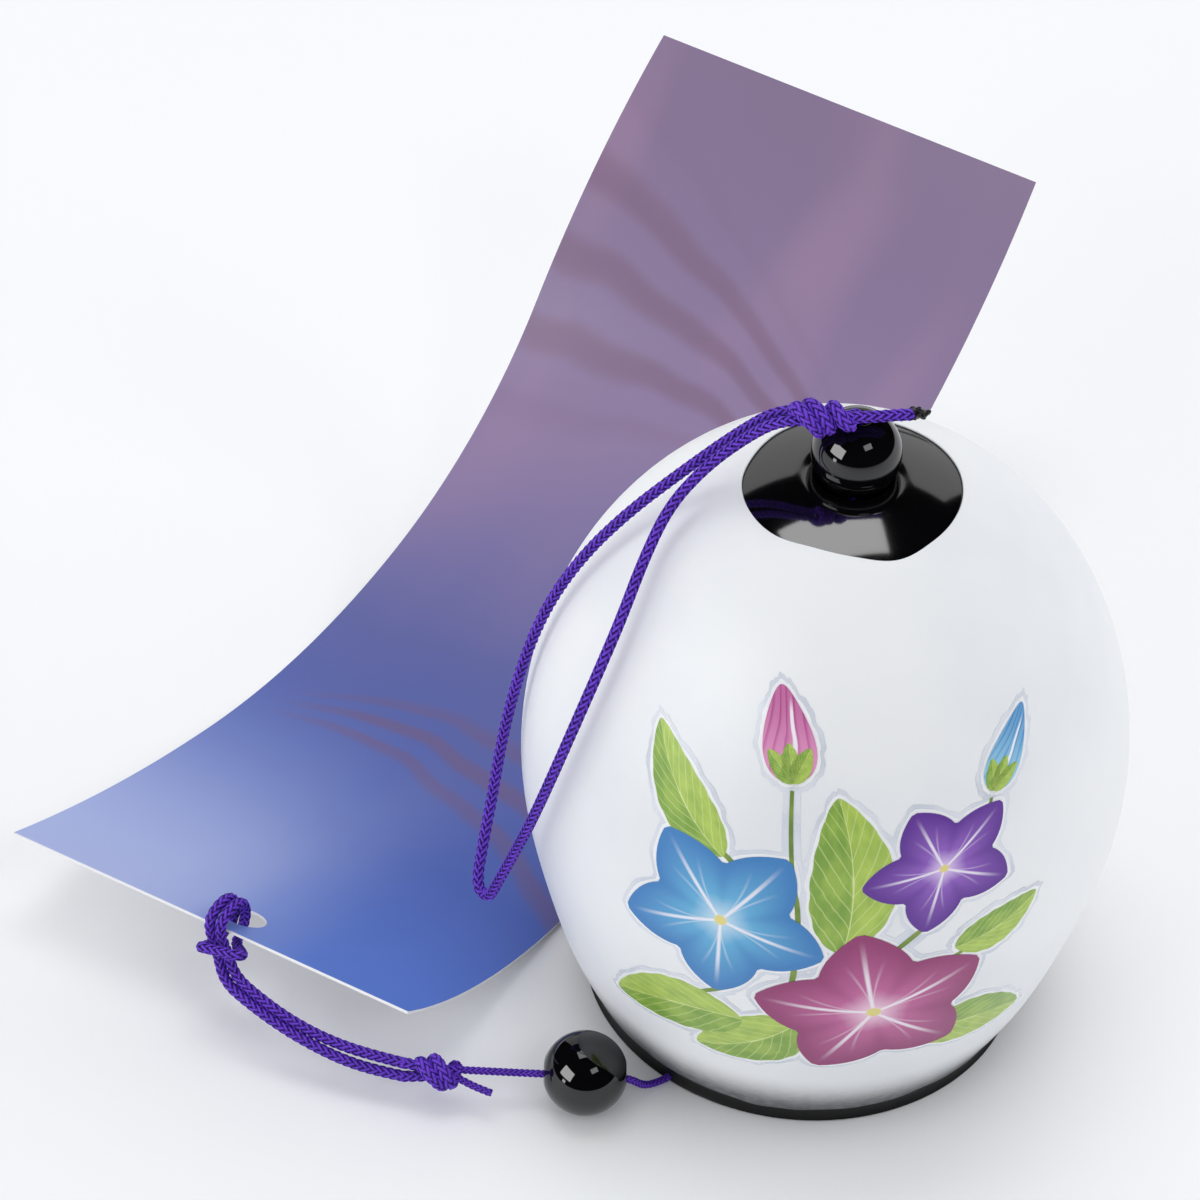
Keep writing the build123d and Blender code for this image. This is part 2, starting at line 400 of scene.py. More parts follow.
@dataclass(frozen=True)
class StripPrint:
    """Printed face of the paper strip: dusk colours with soft drifting streaks."""

    name: str = "strip_print"
    pale: Colour = tint(172, 184, 230)
    near: Colour = tint(82, 121, 208)
    deep: Colour = tint(68, 97, 182)
    middle: Colour = tint(91, 98, 164)
    far: Colour = tint(144, 123, 163)
    end: Colour = tint(132, 111, 145)
    streak: Colour = tint(120, 86, 112)
    rose: Colour = tint(168, 134, 166)

    def material(self) -> bpy.types.Material:
        """Write the finish."""
        book = NodeBook(self.name)
        uv = book.place("UV")
        across, along, _ = book.split(uv)
        drift = book.noise(uv, scale=2.4, detail=2.0)
        wash = book.ramp(
            along + (drift - 0.5) * 0.16,
            [(0.0, self.near), (0.2, self.deep), (0.42, self.middle), (0.66, self.far), (1.0, self.end)],
        )
        corner = (across + (drift - 0.5) * 0.5).rise(0.2, 0.8) * along.rise(0.36, 0.02)
        wash = book.mix(corner * 0.9, wash, self.pale)
        haze = book.noise(uv, scale=3.6, detail=1.0).rise(0.46, 0.76) * along.rise(0.4, 0.7)
        wash = book.mix(haze * 0.5, wash, self.rose)
        streaks = self._fan(across, along, drift, (0.66, 0.24, -0.1), 0.13, 15.0)
        streaks = streaks + self._fan(1.0 - across, along, drift, (0.3, 0.16, -0.2), 0.08, 12.0)
        wash = book.mix(streaks * 0.5, wash, self.streak)
        fibre = book.noise(uv, scale=260.0, detail=3.0, roughness=0.7)
        return book.surface({
            "Base Color": wash,
            "Roughness": fibre * 0.1 + 0.42,
            "Normal": book.bump(fibre, strength=0.08, distance=0.00005),
        })

    @staticmethod
    def _fan(
        across: Wire, along: Wire, drift: Wire, line: Tuple[float, float, float], spread: float, count: float
    ) -> Wire:
        """Draw one fan of soft drifting lines that opens across the strip.

        Args:
            across: Place across the strip, from where the fan is narrow.
            along: Place along the strip.
            drift: Slow noise that bends the lines.
            line: Start, slope and bow of the fan's middle line.
            spread: Half width of the open fan.
            count: How close its lines are.

        Returns:
            How much streak there is.
        """
        start, slope, bow = line
        middle = across * slope + across * across * bow + start
        reach = across * spread + spread * 0.3
        away = (along - middle) / reach + (drift - 0.5) * 0.4
        soft = (away * count + drift * 2.0).sine().rise(-0.6, 1.0)
        return abs(away).rise(1.0, 0.3) * soft * across.rise(0.0, 0.3)


@dataclass(frozen=True)
class PlainPaper:
    """Bare back and cut edge of the paper."""

    name: str = "bare_paper"
    colour: Colour = tint(240, 240, 242)
    fleck: Colour = tint(214, 214, 220)

    def material(self) -> bpy.types.Material:
        """Write the finish."""
        book = NodeBook(self.name)
        fibre = book.noise(book.place("Object"), scale=2600.0, detail=3.0, roughness=0.7)
        return book.surface({
            "Base Color": book.mix(fibre * 0.12, self.colour, self.fleck),
            "Roughness": fibre * 0.1 + 0.6,
            "Normal": book.bump(fibre, strength=0.15, distance=0.00004),
        })


@dataclass(frozen=True)
class PetalPrint:
    """Printed star blossom: pale heart, washed petals, darker rim and white veins."""

    name: str
    heart: Colour
    body: Colour
    rim: Colour
    petals: int = 5
    vein: Colour = tint(244, 240, 248)
    pollen: Colour = tint(226, 214, 132)

    def material(self) -> bpy.types.Material:
        """Write the finish."""
        book = NodeBook(self.name)
        east, north, _ = book.split(book.place("UV"))
        east = (east - 0.5) * 2.0
        north = (north - 0.5) * 2.0
        away = (east * east + north * north) ** 0.5
        turn = book.math("ARCTAN2", north, east) * (self.petals / FULL_TURN)
        beside = abs((turn + self.petals).fraction() - 0.5)
        grain = book.noise(book.place("UV"), scale=70.0, detail=2.0)
        wash = book.ramp(
            away + (grain - 0.5) * 0.06, [(0.05, self.heart), (0.42, self.body), (0.95, self.rim)]
        )
        crease = beside.rise(0.3, 0.5) * away.rise(0.2, 0.7) * 0.35
        wash = book.mix(crease, wash, self.rim)
        line = (beside * away).rise(0.028, 0.006) * away.rise(0.98, 0.5)
        beam = abs(beside - away * 0.2 - 0.03).rise(0.03, 0.008)
        side = beam * away.rise(0.85, 0.45) * away.rise(0.15, 0.3)
        wash = book.mix(line * 0.85 + side * 0.3, wash, self.vein)
        wash = book.mix(away.rise(0.11, 0.07), wash, self.pollen)
        return book.surface({"Base Color": wash, "Roughness": 0.3 + grain * 0.1, "IOR": INK_INDEX})


@dataclass(frozen=True)
class LeafPrint:
    """Printed leaf: two greens either side of a pale rib, with side veins."""

    name: str = "leaf_print"
    light: Colour = tint(178, 204, 92)
    dark: Colour = tint(120, 160, 62)
    rib: Colour = tint(218, 230, 160)

    def material(self) -> bpy.types.Material:
        """Write the finish."""
        book = NodeBook(self.name)
        uv = book.place("UV")
        along, across, _ = book.split(uv)
        offset = across - 0.5
        shade = offset.rise(-0.06, 0.06) * 0.5 + book.noise(uv, scale=5.0).rise(0.3, 0.7) * 0.5
        wash = book.mix(shade, self.light, self.dark)
        fan = (along * 9.0 - abs(offset) * 7.0).fraction()
        vein = abs(fan - 0.5).rise(0.09, 0.02) * 0.45
        middle = abs(offset).rise(0.022, 0.008)
        wash = book.mix(vein, wash, self.rib)
        wash = book.mix(middle * 0.8, wash, self.rib)
        return book.surface({"Base Color": wash, "Roughness": 0.34, "IOR": INK_INDEX})


@dataclass(frozen=True)
class BudPrint:
    """Printed bud: furled petals, darker to the tip, with a white glint along one side."""

    name: str
    light: Colour
    dark: Colour
    glint: Colour = tint(246, 244, 250)

    def material(self) -> bpy.types.Material:
        """Write the finish."""
        book = NodeBook(self.name)
        along, across, _ = book.split(book.place("UV"))
        side = across - 0.5
        furl = (side * 5.0 + along * 1.6).fraction()
        shade = along.rise(0.1, 0.95) * 0.7 + furl.rise(0.55, 0.95) * 0.45
        wash = book.mix(shade, self.light, self.dark)
        beam = abs(side + along * 0.3 - 0.02).rise(0.055, 0.025)
        glint = beam * along.rise(0.12, 0.3) * along.rise(0.9, 0.7)
        wash = book.mix(glint * 0.9, wash, self.glint)
        return book.surface({"Base Color": wash, "Roughness": 0.32, "IOR": INK_INDEX})


@dataclass(frozen=True)
class PlainInk:
    """One printed ink with a slight shade along it."""

    name: str
    colour: Colour
    shade: Colour

    def material(self) -> bpy.types.Material:
        """Write the finish."""
        book = NodeBook(self.name)
        mottle = book.noise(book.place("Object"), scale=300.0, detail=2.0)
        return book.surface({
            "Base Color": book.mix(mottle.rise(0.35, 0.7), self.colour, self.shade),
            "Roughness": mottle * 0.1 + 0.3,
            "IOR": INK_INDEX,
        })


@dataclass(frozen=True)
class TransferFilm:
    """Clear carrier film round the print: silvery, with a crinkled gloss."""

    name: str = "transfer_film"
    colour: Colour = tint(200, 206, 218)
    glint: Colour = tint(226, 230, 238)

    def material(self) -> bpy.types.Material:
        """Write the finish."""
        book = NodeBook(self.name)
        place = book.place("Object")
        crinkle = book.noise(place, scale=2600.0, detail=3.0, roughness=0.65)
        patch = book.noise(place, scale=160.0, detail=2.0)
        return book.surface({
            "Base Color": book.mix(crinkle * 0.4 + patch.rise(0.3, 0.6) * 0.6, self.colour, self.glint),
            "Roughness": crinkle * 0.2 + 0.15,
            "Normal": book.bump(crinkle, strength=0.3, distance=0.00006),
        })


@dataclass(frozen=True)
class PaleFloor:
    """Plain white sweep that the bell stands on."""

    name: str = "pale_floor"
    colour: Colour = tint(246, 247, 249)

    def material(self) -> bpy.types.Material:
        """Write the finish."""
        book = NodeBook(self.name)
        return book.surface({"Base Color": self.colour, "Roughness": 0.75})


class Bench:
    """Modelling steps that several pieces share."""

    @staticmethod
    def clear() -> None:
        """Deselect everything."""
        bpy.ops.object.select_all(action="DESELECT")

    @staticmethod
    def take(piece: bpy.types.Object) -> None:
        """Select one piece alone and make it the active one."""
        Bench.clear()
        piece.select_set(True)
        bpy.context.view_layer.objects.active = piece

    @staticmethod
    def rings(name: str, rings: Sequence[Tuple[float, float]], sides: int, closed: bool) -> bpy.types.Object:
        """Raise a turned shape ring by ring from a circle.

        Args:
            name: Name of the piece.
            rings: Radius and height of each ring, in millimetres.
            sides: Points round each ring.
            closed: Whether the last ring meets the first.

        Returns:
            The piece, smooth, with its normals facing out.
        """
        Bench.clear()
        radius, height = rings[0]
        bpy.ops.mesh.primitive_circle_add(vertices=sides, radius=radius * MM, location=(0, 0, height * MM))
        piece = bpy.context.object
        piece.name = name
        bpy.ops.object.transform_apply(location=True, rotation=True, scale=True)
        bpy.ops.object.mode_set(mode="EDIT")
        bpy.ops.mesh.select_all(action="SELECT")
        for next_radius, next_height in rings[1:]:
            rise = (0, 0, (next_height - height) * MM)
            grow = next_radius / radius
            bpy.ops.mesh.extrude_edges_move(TRANSFORM_OT_translate={"value": rise})
            bpy.ops.transform.resize(value=(grow, grow, 1), center_override=(0, 0, next_height * MM))
            radius, height = next_radius, next_height
        bpy.ops.mesh.select_all(action="SELECT")
        if closed:
            bpy.ops.mesh.remove_doubles(threshold=WELD * MM)
        bpy.ops.mesh.normals_make_consistent(inside=False)
        bpy.ops.object.mode_set(mode="OBJECT")
        bpy.ops.object.shade_smooth()
        return piece

    @staticmethod
    def disc(name: str, sides: int, rows: int) -> bpy.types.Object:
        """Make a flat unit disc in rows of faces, with its own place on it as its UV map.

        Args:
            name: Name of the disc.
            sides: Points round its edge.
            rows: Rows of faces from its middle to its edge.

        Returns:
            The disc, one unit in radius.
        """
        Bench.clear()
        bpy.ops.mesh.primitive_circle_add(vertices=sides, radius=1 / rows, fill_type="TRIFAN")
        piece = bpy.context.object
        piece.name = name
        bpy.ops.object.mode_set(mode="EDIT")
        bpy.ops.mesh.select_all(action="SELECT")
        bpy.ops.mesh.region_to_loop()
        for row in range(1, rows):
            grow = (row + 1) / row
            bpy.ops.mesh.extrude_edges_move(TRANSFORM_OT_translate={"value": (0, 0, 0)})
            bpy.ops.transform.resize(value=(grow, grow, 1), center_override=(0, 0, 0))
        bpy.ops.mesh.select_all(action="SELECT")
        bpy.ops.mesh.normals_make_consistent(inside=False)
        bpy.ops.object.mode_set(mode="OBJECT")
        mesh = piece.data
        layer = mesh.uv_layers.active or mesh.uv_layers.new(name="UVMap")
        for loop in mesh.loops:
            x, y, _ = mesh.vertices[loop.vertex_index].co
            layer.data[loop.index].uv = (x / 2 + 0.5, y / 2 + 0.5)
        return piece

    @staticmethod
    def copy(piece: bpy.types.Object, name: str) -> bpy.types.Object:
        """Copy a piece with a mesh of its own."""
        made = piece.copy()
        made.data = piece.data.copy()
        made.name = name
        bpy.context.scene.collection.objects.link(made)
        return made

    @staticmethod
    def places(piece: bpy.types.Object) -> np.ndarray:
        """Read a mesh's points."""
        flat = np.zeros(len(piece.data.vertices) * 3)
        piece.data.vertices.foreach_get("co", flat)
        return flat.reshape(-1, 3)

    @staticmethod
    def move(piece: bpy.types.Object, places: np.ndarray) -> None:
        """Set a mesh's points."""
        piece.data.vertices.foreach_set("co", np.asarray(places, float).ravel())
        piece.data.update()

    @staticmethod
    def modify(piece: bpy.types.Object, kind: str, settings: Dict[str, Any]) -> None:
        """Add one modifier with its settings and apply it."""
        Bench.take(piece)
        made = piece.modifiers.new(kind.lower(), kind)
        for key, value in settings.items():
            setattr(made, key, value)
        bpy.ops.object.modifier_apply(modifier=made.name)

    @staticmethod
    def join(pieces: Sequence[bpy.types.Object], name: str) -> bpy.types.Object:
        """Join pieces into one."""
        Bench.take(pieces[0])
        for piece in pieces[1:]:
            piece.select_set(True)
        bpy.ops.object.join()
        pieces[0].name = name
        return pieces[0]

    @staticmethod
    def face_out(piece: bpy.types.Object) -> None:
        """Turn a closed mesh's faces outwards."""
        Bench.take(piece)
        bpy.ops.object.mode_set(mode="EDIT")
        bpy.ops.mesh.select_all(action="SELECT")
        bpy.ops.mesh.normals_make_consistent(inside=False)
        bpy.ops.object.mode_set(mode="OBJECT")

    @staticmethod
    def dress(piece: bpy.types.Object, *materials: bpy.types.Material) -> None:
        """Give a piece its materials."""
        piece.data.materials.clear()
        for material in materials:
            piece.data.materials.append(material)


def seat(piece: bpy.types.Object, body: Body, slot: Slot, *nodes: str) -> bpy.types.Object:
    """Set a finished piece on its body in place of solids.

    Args:
        piece: The piece.
        body: The body it rides on.
        slot: The record's slot for its finish; not used.
        nodes: The solids it stands for.

    Returns:
        The same piece.
    """
    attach(piece, body.value)
    if nodes:
        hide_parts(*nodes)
    LOG.info("%s rides on %s", piece.name, body.value)
    return piece


@dataclass(frozen=True)
class BellShape:
    """The bell's outside, as its solid has it, drawn in a little over its lip."""

    height: float = 78.6
    radius: float = 35.0
    belly: float = 36.4
    mouth: float = 26.2
    wall: float = 2.0
    coat: float = 0.25
    hole: float = 4.2
    side_height: float = 18.564
    side_radius: float = 32.096
    slopes: Tuple[float, float, float] = (0.42, 0.255, 0.0)
    lip_height: float = 2.5
    lip_tuck: float = 0.8
    lip_flare: float = 0.6
    steps: int = 240

    def side(self, height: float) -> float:
        """Give the outside's radius at a height below the belly."""
        low, high, near, far, first, last = 0.0, self.side_height, self.mouth, self.side_radius, 0, 1
        if height > self.side_height:
            low, high, near, far, first, last = high, self.belly, far, self.radius, 1, 2
        span = high - low
        t = (height - low) / span
        lift = height / self.lip_height
        tuck = self.lip_tuck * lift * math.exp(1 - lift) - self.lip_flare * math.exp(-height)
        return (
            (2 * t**3 - 3 * t**2 + 1) * near
            + (t**3 - 2 * t**2 + t) * span * self.slopes[first]
            + (3 * t**2 - 2 * t**3) * far
            + (t**3 - t**2) * span * self.slopes[last]
            - tuck
        )

    def skin(self, inset: float) -> Tuple[np.ndarray, np.ndarray, np.ndarray]:
        """Follow one skin of the bell from the mouth to the crown hole.

        Args:
            inset: How far the skin lies inside the outside.

        Returns:
            Length along the skin, radius and height, each as an array.
        """
        heights = np.linspace(0, self.belly, self.steps)
        radii = np.array([self.side(height) for height in heights]) - inset
        girth = self.radius - inset
        lifts = np.linspace(0, math.acos(self.hole / girth), self.steps)[1:]
        radii = np.concatenate([radii, girth * np.cos(lifts)])
        heights = np.concatenate([heights, self.belly + (self.height - self.belly - inset) * np.sin(lifts)])
        lengths = np.concatenate([[0], np.cumsum(np.hypot(np.diff(radii), np.diff(heights)))])
        return lengths, radii, heights

    def on_coat(self, turns: np.ndarray, lengths: np.ndarray, lift: float) -> np.ndarray:
        """Place points on the coat, in metres.

        Args:
            turns: Turn of each point about the axis from the front, in radians.
            lengths: Length of each up the skin from the mouth.
            lift: How far they stand off the coat.

        Returns:
            The points.
        """
        skin_lengths, skin_radii, skin_heights = self.skin(-lift)
        radii = np.interp(lengths, skin_lengths, skin_radii)
        heights = np.interp(lengths, skin_lengths, skin_heights)
        return np.stack([radii * np.sin(turns), -radii * np.cos(turns), heights], axis=1) * MM


@dataclass
class GlassBell:
    """The blown bell, open below, with a hole in its crown."""

    shape: BellShape
    sides: int = 160
    rows: int = 72
    row_power: float = 1.6
    lip_cut: float = 2.3
    lip_round: float = 0.45
    crown_round: float = 0.4
    round_steps: int = 5

    def build(self) -> bpy.types.Object:
        """Raise the bell's section ring by ring and close it at the lip."""
        outer = self._rows(self.shape.coat, self.lip_round, self.crown_round)
        inner = self._rows(self.shape.coat + self.shape.wall, self.lip_round, self.crown_round)
        crown = self._round(outer[-1], inner[-1], (self.shape.hole, outer[-1][1]))
        mouth = self._lip(inner[0], outer[0])
        section = outer + crown + inner[::-1] + mouth
        return Bench.rings("glass_bell", section + section[:1], self.sides, True)

    def _rows(self, inset: float, low: float, high: float) -> List[Tuple[float, float]]:
        """Space rings along one skin, closer by the lip, short of its rounded ends."""
        lengths, radii, heights = self.shape.skin(inset)
        stops = low + (lengths[-1] - high - low) * np.linspace(0, 1, self.rows) ** self.row_power
        return [(float(np.interp(s, lengths, radii)), float(np.interp(s, lengths, heights))) for s in stops]

    def _round(
        self, start: Tuple[float, float], end: Tuple[float, float], edge: Tuple[float, float]
    ) -> List[Tuple[float, float]]:
        """Carry the section over the crown hole's edge."""
        fall = start[1] - end[1]
        rings = []
        for step in range(1, self.round_steps):
            share = step / self.round_steps
            swell = math.sin(math.pi * share) ** 0.5
            radius = start[0] + (end[0] - start[0]) * share
            rings.append((radius - (radius - edge[0]) * swell, start[1] - fall * share))
        return rings

    def _lip(self, start: Tuple[float, float], end: Tuple[float, float]) -> List[Tuple[float, float]]:
        """Carry the section under the lip, flat in the middle and round at its edges."""
        rings = []
        for turn in np.linspace(0, math.pi / 2, self.round_steps)[1:]:
            rings.append((start[0] + self.lip_round * math.sin(turn) ** 2, start[1] * math.cos(turn)))
        for turn in np.linspace(math.pi / 2, 0, self.round_steps)[:-1]:
            rings.append((end[0] - self.lip_round * math.sin(turn) ** 2, end[1] * math.cos(turn)))
        return rings

    def dress(self) -> bpy.types.Object:
        """Build the bell, give it black glass and a ground lip, and set it on its body."""
        piece = self.build()
        glass = BlackGloss("black_glass", tint(7, 7, 9), ripple=0.12, index=2.1, dullness=0.06)
        ground = BlackGloss("ground_lip", tint(14, 14, 15), ripple=0.3, index=1.35, dullness=0.45)
        Bench.dress(piece, glass.material(), ground.material())
        for face in piece.data.polygons:
            face.material_index = int(face.center.z < self.lip_cut * MM)
        return seat(piece, Body.BELL, Slot.BLACK_GLASS, "glass_body")


@dataclass
class SprayedCoat:
    """The white coat, masked round the crown and wiped off above the lip."""

    shape: BellShape
    patch: float = 12.0
    wander_shares: Tuple[float, ...] = (
        1.01, 1.04, 1.05, 1.02, 0.98, 0.97, 0.97, 0.97, 1.01, 1.02, 1.01, 0.955, 0.97, 1.03, 0.995, 0.99,
    )
    lip_band: float = 2.6
    lip_wave: float = 0.6
    row_power: float = 1.5
    lip_waves: Tuple[Point, ...] = ((5.0, 0.4, 0.5), (13.0, 2.0, 0.3), (29.0, 0.0, 0.2))
    thickness: float = 0.22
    edge_round: float = 0.07
    edge_segments: int = 2
    edge_angle: float = 50.0
    smooth_angle: float = 40.0
    sides: int = 256
    rows: int = 64

    def build(self) -> bpy.types.Object:
        """Raise the coat in rings, then draw its two borders as the mask left them."""
        levels = np.linspace(1.0, 2.0, self.rows + 1)
        tube = [(self.shape.radius, float(height)) for height in levels]
        piece = Bench.rings("white_coat_skin", tube, self.sides, False)
        places = Bench.places(piece)
        share = (places[:, 2] / MM - levels[0]) / (levels[-1] - levels[0])
        turns = np.arctan2(places[:, 1], places[:, 0])
        lengths, radii, heights = self.shape.skin(0)
        patch = self.patch_radius(turns)
        top = np.interp(-patch, -radii[self.shape.steps:], lengths[self.shape.steps:])
        low = np.interp(self.lip_band + self.lip_edge(turns), heights, lengths)
        stops = low + (top - low) * share**self.row_power
        reach = np.interp(stops, lengths, radii)
        level = np.interp(stops, lengths, heights)
        Bench.move(piece, np.stack([reach * np.cos(turns), reach * np.sin(turns), level], axis=1) * MM)
        Bench.modify(piece, "SOLIDIFY", {"thickness": self.thickness * MM, "offset": -1.0})
        bevel = {
            "width": self.edge_round * MM,
            "segments": self.edge_segments,
            "limit_method": "ANGLE",
            "angle_limit": math.radians(self.edge_angle),
        }
        Bench.modify(piece, "BEVEL", bevel)
        Bench.take(piece)
        bpy.ops.object.shade_smooth_by_angle(angle=math.radians(self.smooth_angle))
        return piece

    def patch_radius(self, turns: np.ndarray) -> np.ndarray:
        """Give the bare patch's radius at each turn, as a hand-cut mask wanders."""
        count = len(self.wander_shares)
        place = (turns / FULL_TURN * count) % count
        first = np.floor(place).astype(int)
        t = place - first
        shares = np.array(self.wander_shares)
        before, here, after, beyond = (shares[(first + step) % count] for step in (-1, 0, 1, 2))
        twist = 3 * (here - after) + beyond - before
        bend = 2 * before - 5 * here + 4 * after - beyond
        return self.patch * (here + 0.5 * t * (after - before + t * (bend + t * twist)))

    def lip_edge(self, turns: np.ndarray) -> np.ndarray:
        """Give how far the border above the lip strays from its height."""
        waves = [np.sin(turns * count + lead) * share for count, lead, share in self.lip_waves]
        return self.lip_wave * sum(waves)

    def dress(self) -> bpy.types.Object:
        """Build the coat, give it its sprayed finish and set it on the bell."""
        piece = self.build()
        Bench.dress(piece, MattCoat().material())
        return seat(piece, Body.BELL, Slot.WHITE_COAT, "white_coat")


class Outline:
    """Outlines of printed motifs: each turns a place on a unit disc into millimetres."""

    @staticmethod
    def star(size: float, notch: float, petals: int = 5) -> Drawing:
        """Draw a blossom with pointed petals."""

        def draw(away: np.ndarray, turn: np.ndarray) -> np.ndarray:
            """Place the points."""
            sharpness, tip, tip_power = 1.3, 0.05, 4
            between = np.abs((turn / FULL_TURN * petals) % 1 - 0.5) * 2
            edge = size * (1 - notch * between**sharpness + tip * (1 - between) ** tip_power)
            soft = size * (1 - notch) + (edge - size * (1 - notch)) * away
            return np.stack([away * soft * np.cos(turn), away * soft * np.sin(turn)], axis=1)

        return draw

    @staticmethod
    def leaf(length: float, width: float, bow: float) -> Drawing:
        """Draw a pointed leaf with a bowed rib."""

        def draw(away: np.ndarray, turn: np.ndarray) -> np.ndarray:
            """Place the points."""
            teeth, depth, fullness, taper = 9, 0.05, 0.35, 0.25
            tooth = 1 + depth * np.abs(np.sin(turn * teeth))
            x = np.cos(turn) * length / 2
            swell = np.sin(turn) * np.abs(np.sin(turn)) ** fullness
            y = swell * (1 - taper * np.cos(turn)) * width / 2 * tooth
            return np.stack([away * x, away * y + bow * (away * np.cos(turn)) ** 2], axis=1)

        return draw

    @staticmethod
    def bud(length: float, width: float) -> Drawing:
        """Draw a balloon bud, pointed at its tip."""

        def draw(away: np.ndarray, turn: np.ndarray) -> np.ndarray:
            """Place the points."""
            taper = 0.45
            x = np.cos(turn) * length / 2
            y = np.sin(turn) * (1 - taper * np.cos(turn)) * width / 2
            return np.stack([away * x, away * y], axis=1)

        return draw


@dataclass(frozen=True)
class Motif:
    """One printed shape of the spray: its place on the coat, its turn, squash and ink."""

    ink: str
    right: float
    up: float
    turn: float
    draw: Drawing
    squash: float = 1.0
    lift: float = 0.11


@dataclass
class FlowerSpray:
    """Printed transfer of star blossoms, buds, leaves and stems on the front of the coat."""

    shape: BellShape
    middle_turn: float = -0.04
    middle_length: float = 42.0
    film_margin: float = 1.0
    white_margin: float = 0.45
    film_lift: float = 0.035
    film_stem_drop: float = 0.006
    white_lift: float = 0.06
    stem_lift: float = 0.075
    stem_width: float = 0.6
    stem_steps: int = 40
    stem_foot_share: float = 1.15
    stem_taper_share: float = 0.45
    ragged_waves: Tuple[Tuple[float, int], ...] = ((0.16, 11), (0.1, 23))
    bud_width_share: float = 0.52
    sepal_splay: float = 32.0
    sepal_share: float = 0.21
    sepal_width_share: float = 0.2
    sepal_lift: float = 0.135
    thickness: float = 0.02
    smooth_angle: float = 35.0
    sides: int = 90
    rows: int = 9

    def motifs(self) -> List[Motif]:
        """List the spray's shapes, in millimetres from its middle."""
        leaf, star, bud = Outline.leaf, Outline.star, Outline.bud
        shapes = [
            Motif("leaf", -15.5, -17.5, 200.0, leaf(17.0, 9.5, 1.4), 1.0, 0.085),
            Motif("leaf", 20.5, -19.0, -14.0, leaf(15.0, 9.0, -1.0), 1.0, 0.085),
            Motif("leaf", -5.5, -20.5, 222.0, leaf(15.0, 9.0, -1.2), 1.0, 0.08),
            Motif("leaf", 3.5, 8.5, 96.0, leaf(20.0, 9.0, 1.4), 1.0, 0.085),
            Motif("leaf", -16.5, 14.0, 128.0, leaf(15.0, 6.5, -1.2), 1.0, 0.085),
            Motif("leaf", 21.5, -1.5, 20.0, leaf(11.0, 5.4, 0.8), 1.0, 0.085),
            Motif("blue", -10.5, 0.5, 20.0, star(11.8, 0.34), 0.95, 0.11),
            Motif("rose", 7.5, -12.0, 65.0, star(13.0, 0.3), 1.0, 0.125),
            Motif("violet", 13.5, 9.0, 10.0, star(8.8, 0.36), 0.9, 0.11),
        ]
        buds = (("rose_bud", -5.0, 24.5, 102.0, 10.5), ("blue_bud", 20.5, 20.5, 66.0, 8.6))
        for ink, right, up, turn, size in buds:
            shapes.append(Motif(ink, right, up, turn, bud(size, size * self.bud_width_share)))
            base = math.radians(turn)
            foot = -0.5 * size
            sepal = self.sepal_share * size
            green = leaf(2 * sepal, self.sepal_width_share * size, 0.0)
            for splay in (-self.sepal_splay, 0.0, self.sepal_splay):
                tilt = math.radians(turn + splay)
                x = right + foot * math.cos(base) + sepal * math.cos(tilt)
                y = up + foot * math.sin(base) + sepal * math.sin(tilt)
                shapes.append(Motif("leaf", x, y, turn + splay, green, lift=self.sepal_lift))
        return shapes

    def stems(self) -> List[List[Tuple[float, float]]]:
        """List the routes of the spray's stems, in millimetres from its middle."""
        return [
            [(-2.0, -8.0), (-1.5, 2.0), (-3.6, 10.0), (-4.0, 18.5)],
            [(6.0, -4.0), (12.0, 1.0), (17.0, 8.0), (18.6, 15.8)],
            [(-9.0, -10.0), (-12.0, -13.0), (-17.0, -15.5)],
            [(-9.0, 8.0), (-12.0, 10.0), (-18.0, 15.0)],
            [(10.0, -8.0), (15.0, -4.0), (23.0, -1.0)],
        ]

    def lay(self, places: np.ndarray, lift: float) -> np.ndarray:
        """Wrap flat places of the spray round the coat."""
        lengths = places[:, 1] + self.middle_length
        skin_lengths, skin_radii, _ = self.shape.skin(0)
        turns = self.middle_turn + places[:, 0] / np.interp(lengths, skin_lengths, skin_radii)
        return self.shape.on_coat(turns, lengths, lift)

    def print_motif(
        self, disc: bpy.types.Object, motif: Motif, margin: float, lift: float, name: str
    ) -> bpy.types.Object:
        """Shape one copy of the disc to a motif, grown by a margin, and wrap it round the coat.

        Args:
            disc: The unit disc to copy.
            motif: The shape to print.
            margin: How much wider than the motif it is.
            lift: How far it stands off the coat.
            name: Name of the piece.

        Returns:
            The printed piece.
        """
        piece = Bench.copy(disc, name)
        places = Bench.places(piece)
        away = np.hypot(places[:, 0], places[:, 1])
        turn = np.arctan2(places[:, 1], places[:, 0]) % FULL_TURN
        flat = motif.draw(away, turn)
        if margin:
            edge = np.hypot(flat[:, 0], flat[:, 1]) + 1e-6
            (wide, slow), (fine, quick) = self.ragged_waves
            ragged = 1 + wide * np.sin(turn * slow + motif.right) + fine * np.sin(turn * quick + motif.up)
            flat = flat * (1 + margin * ragged * away / edge)[:, None]
        flat[:, 1] *= motif.squash
        heading = math.radians(motif.turn)
        cosine, sine = math.cos(heading), math.sin(heading)
        x = flat[:, 0] * cosine - flat[:, 1] * sine + motif.right
        y = flat[:, 0] * sine + flat[:, 1] * cosine + motif.up
        Bench.move(piece, self.lay(np.stack([x, y], axis=1), lift))
        return piece

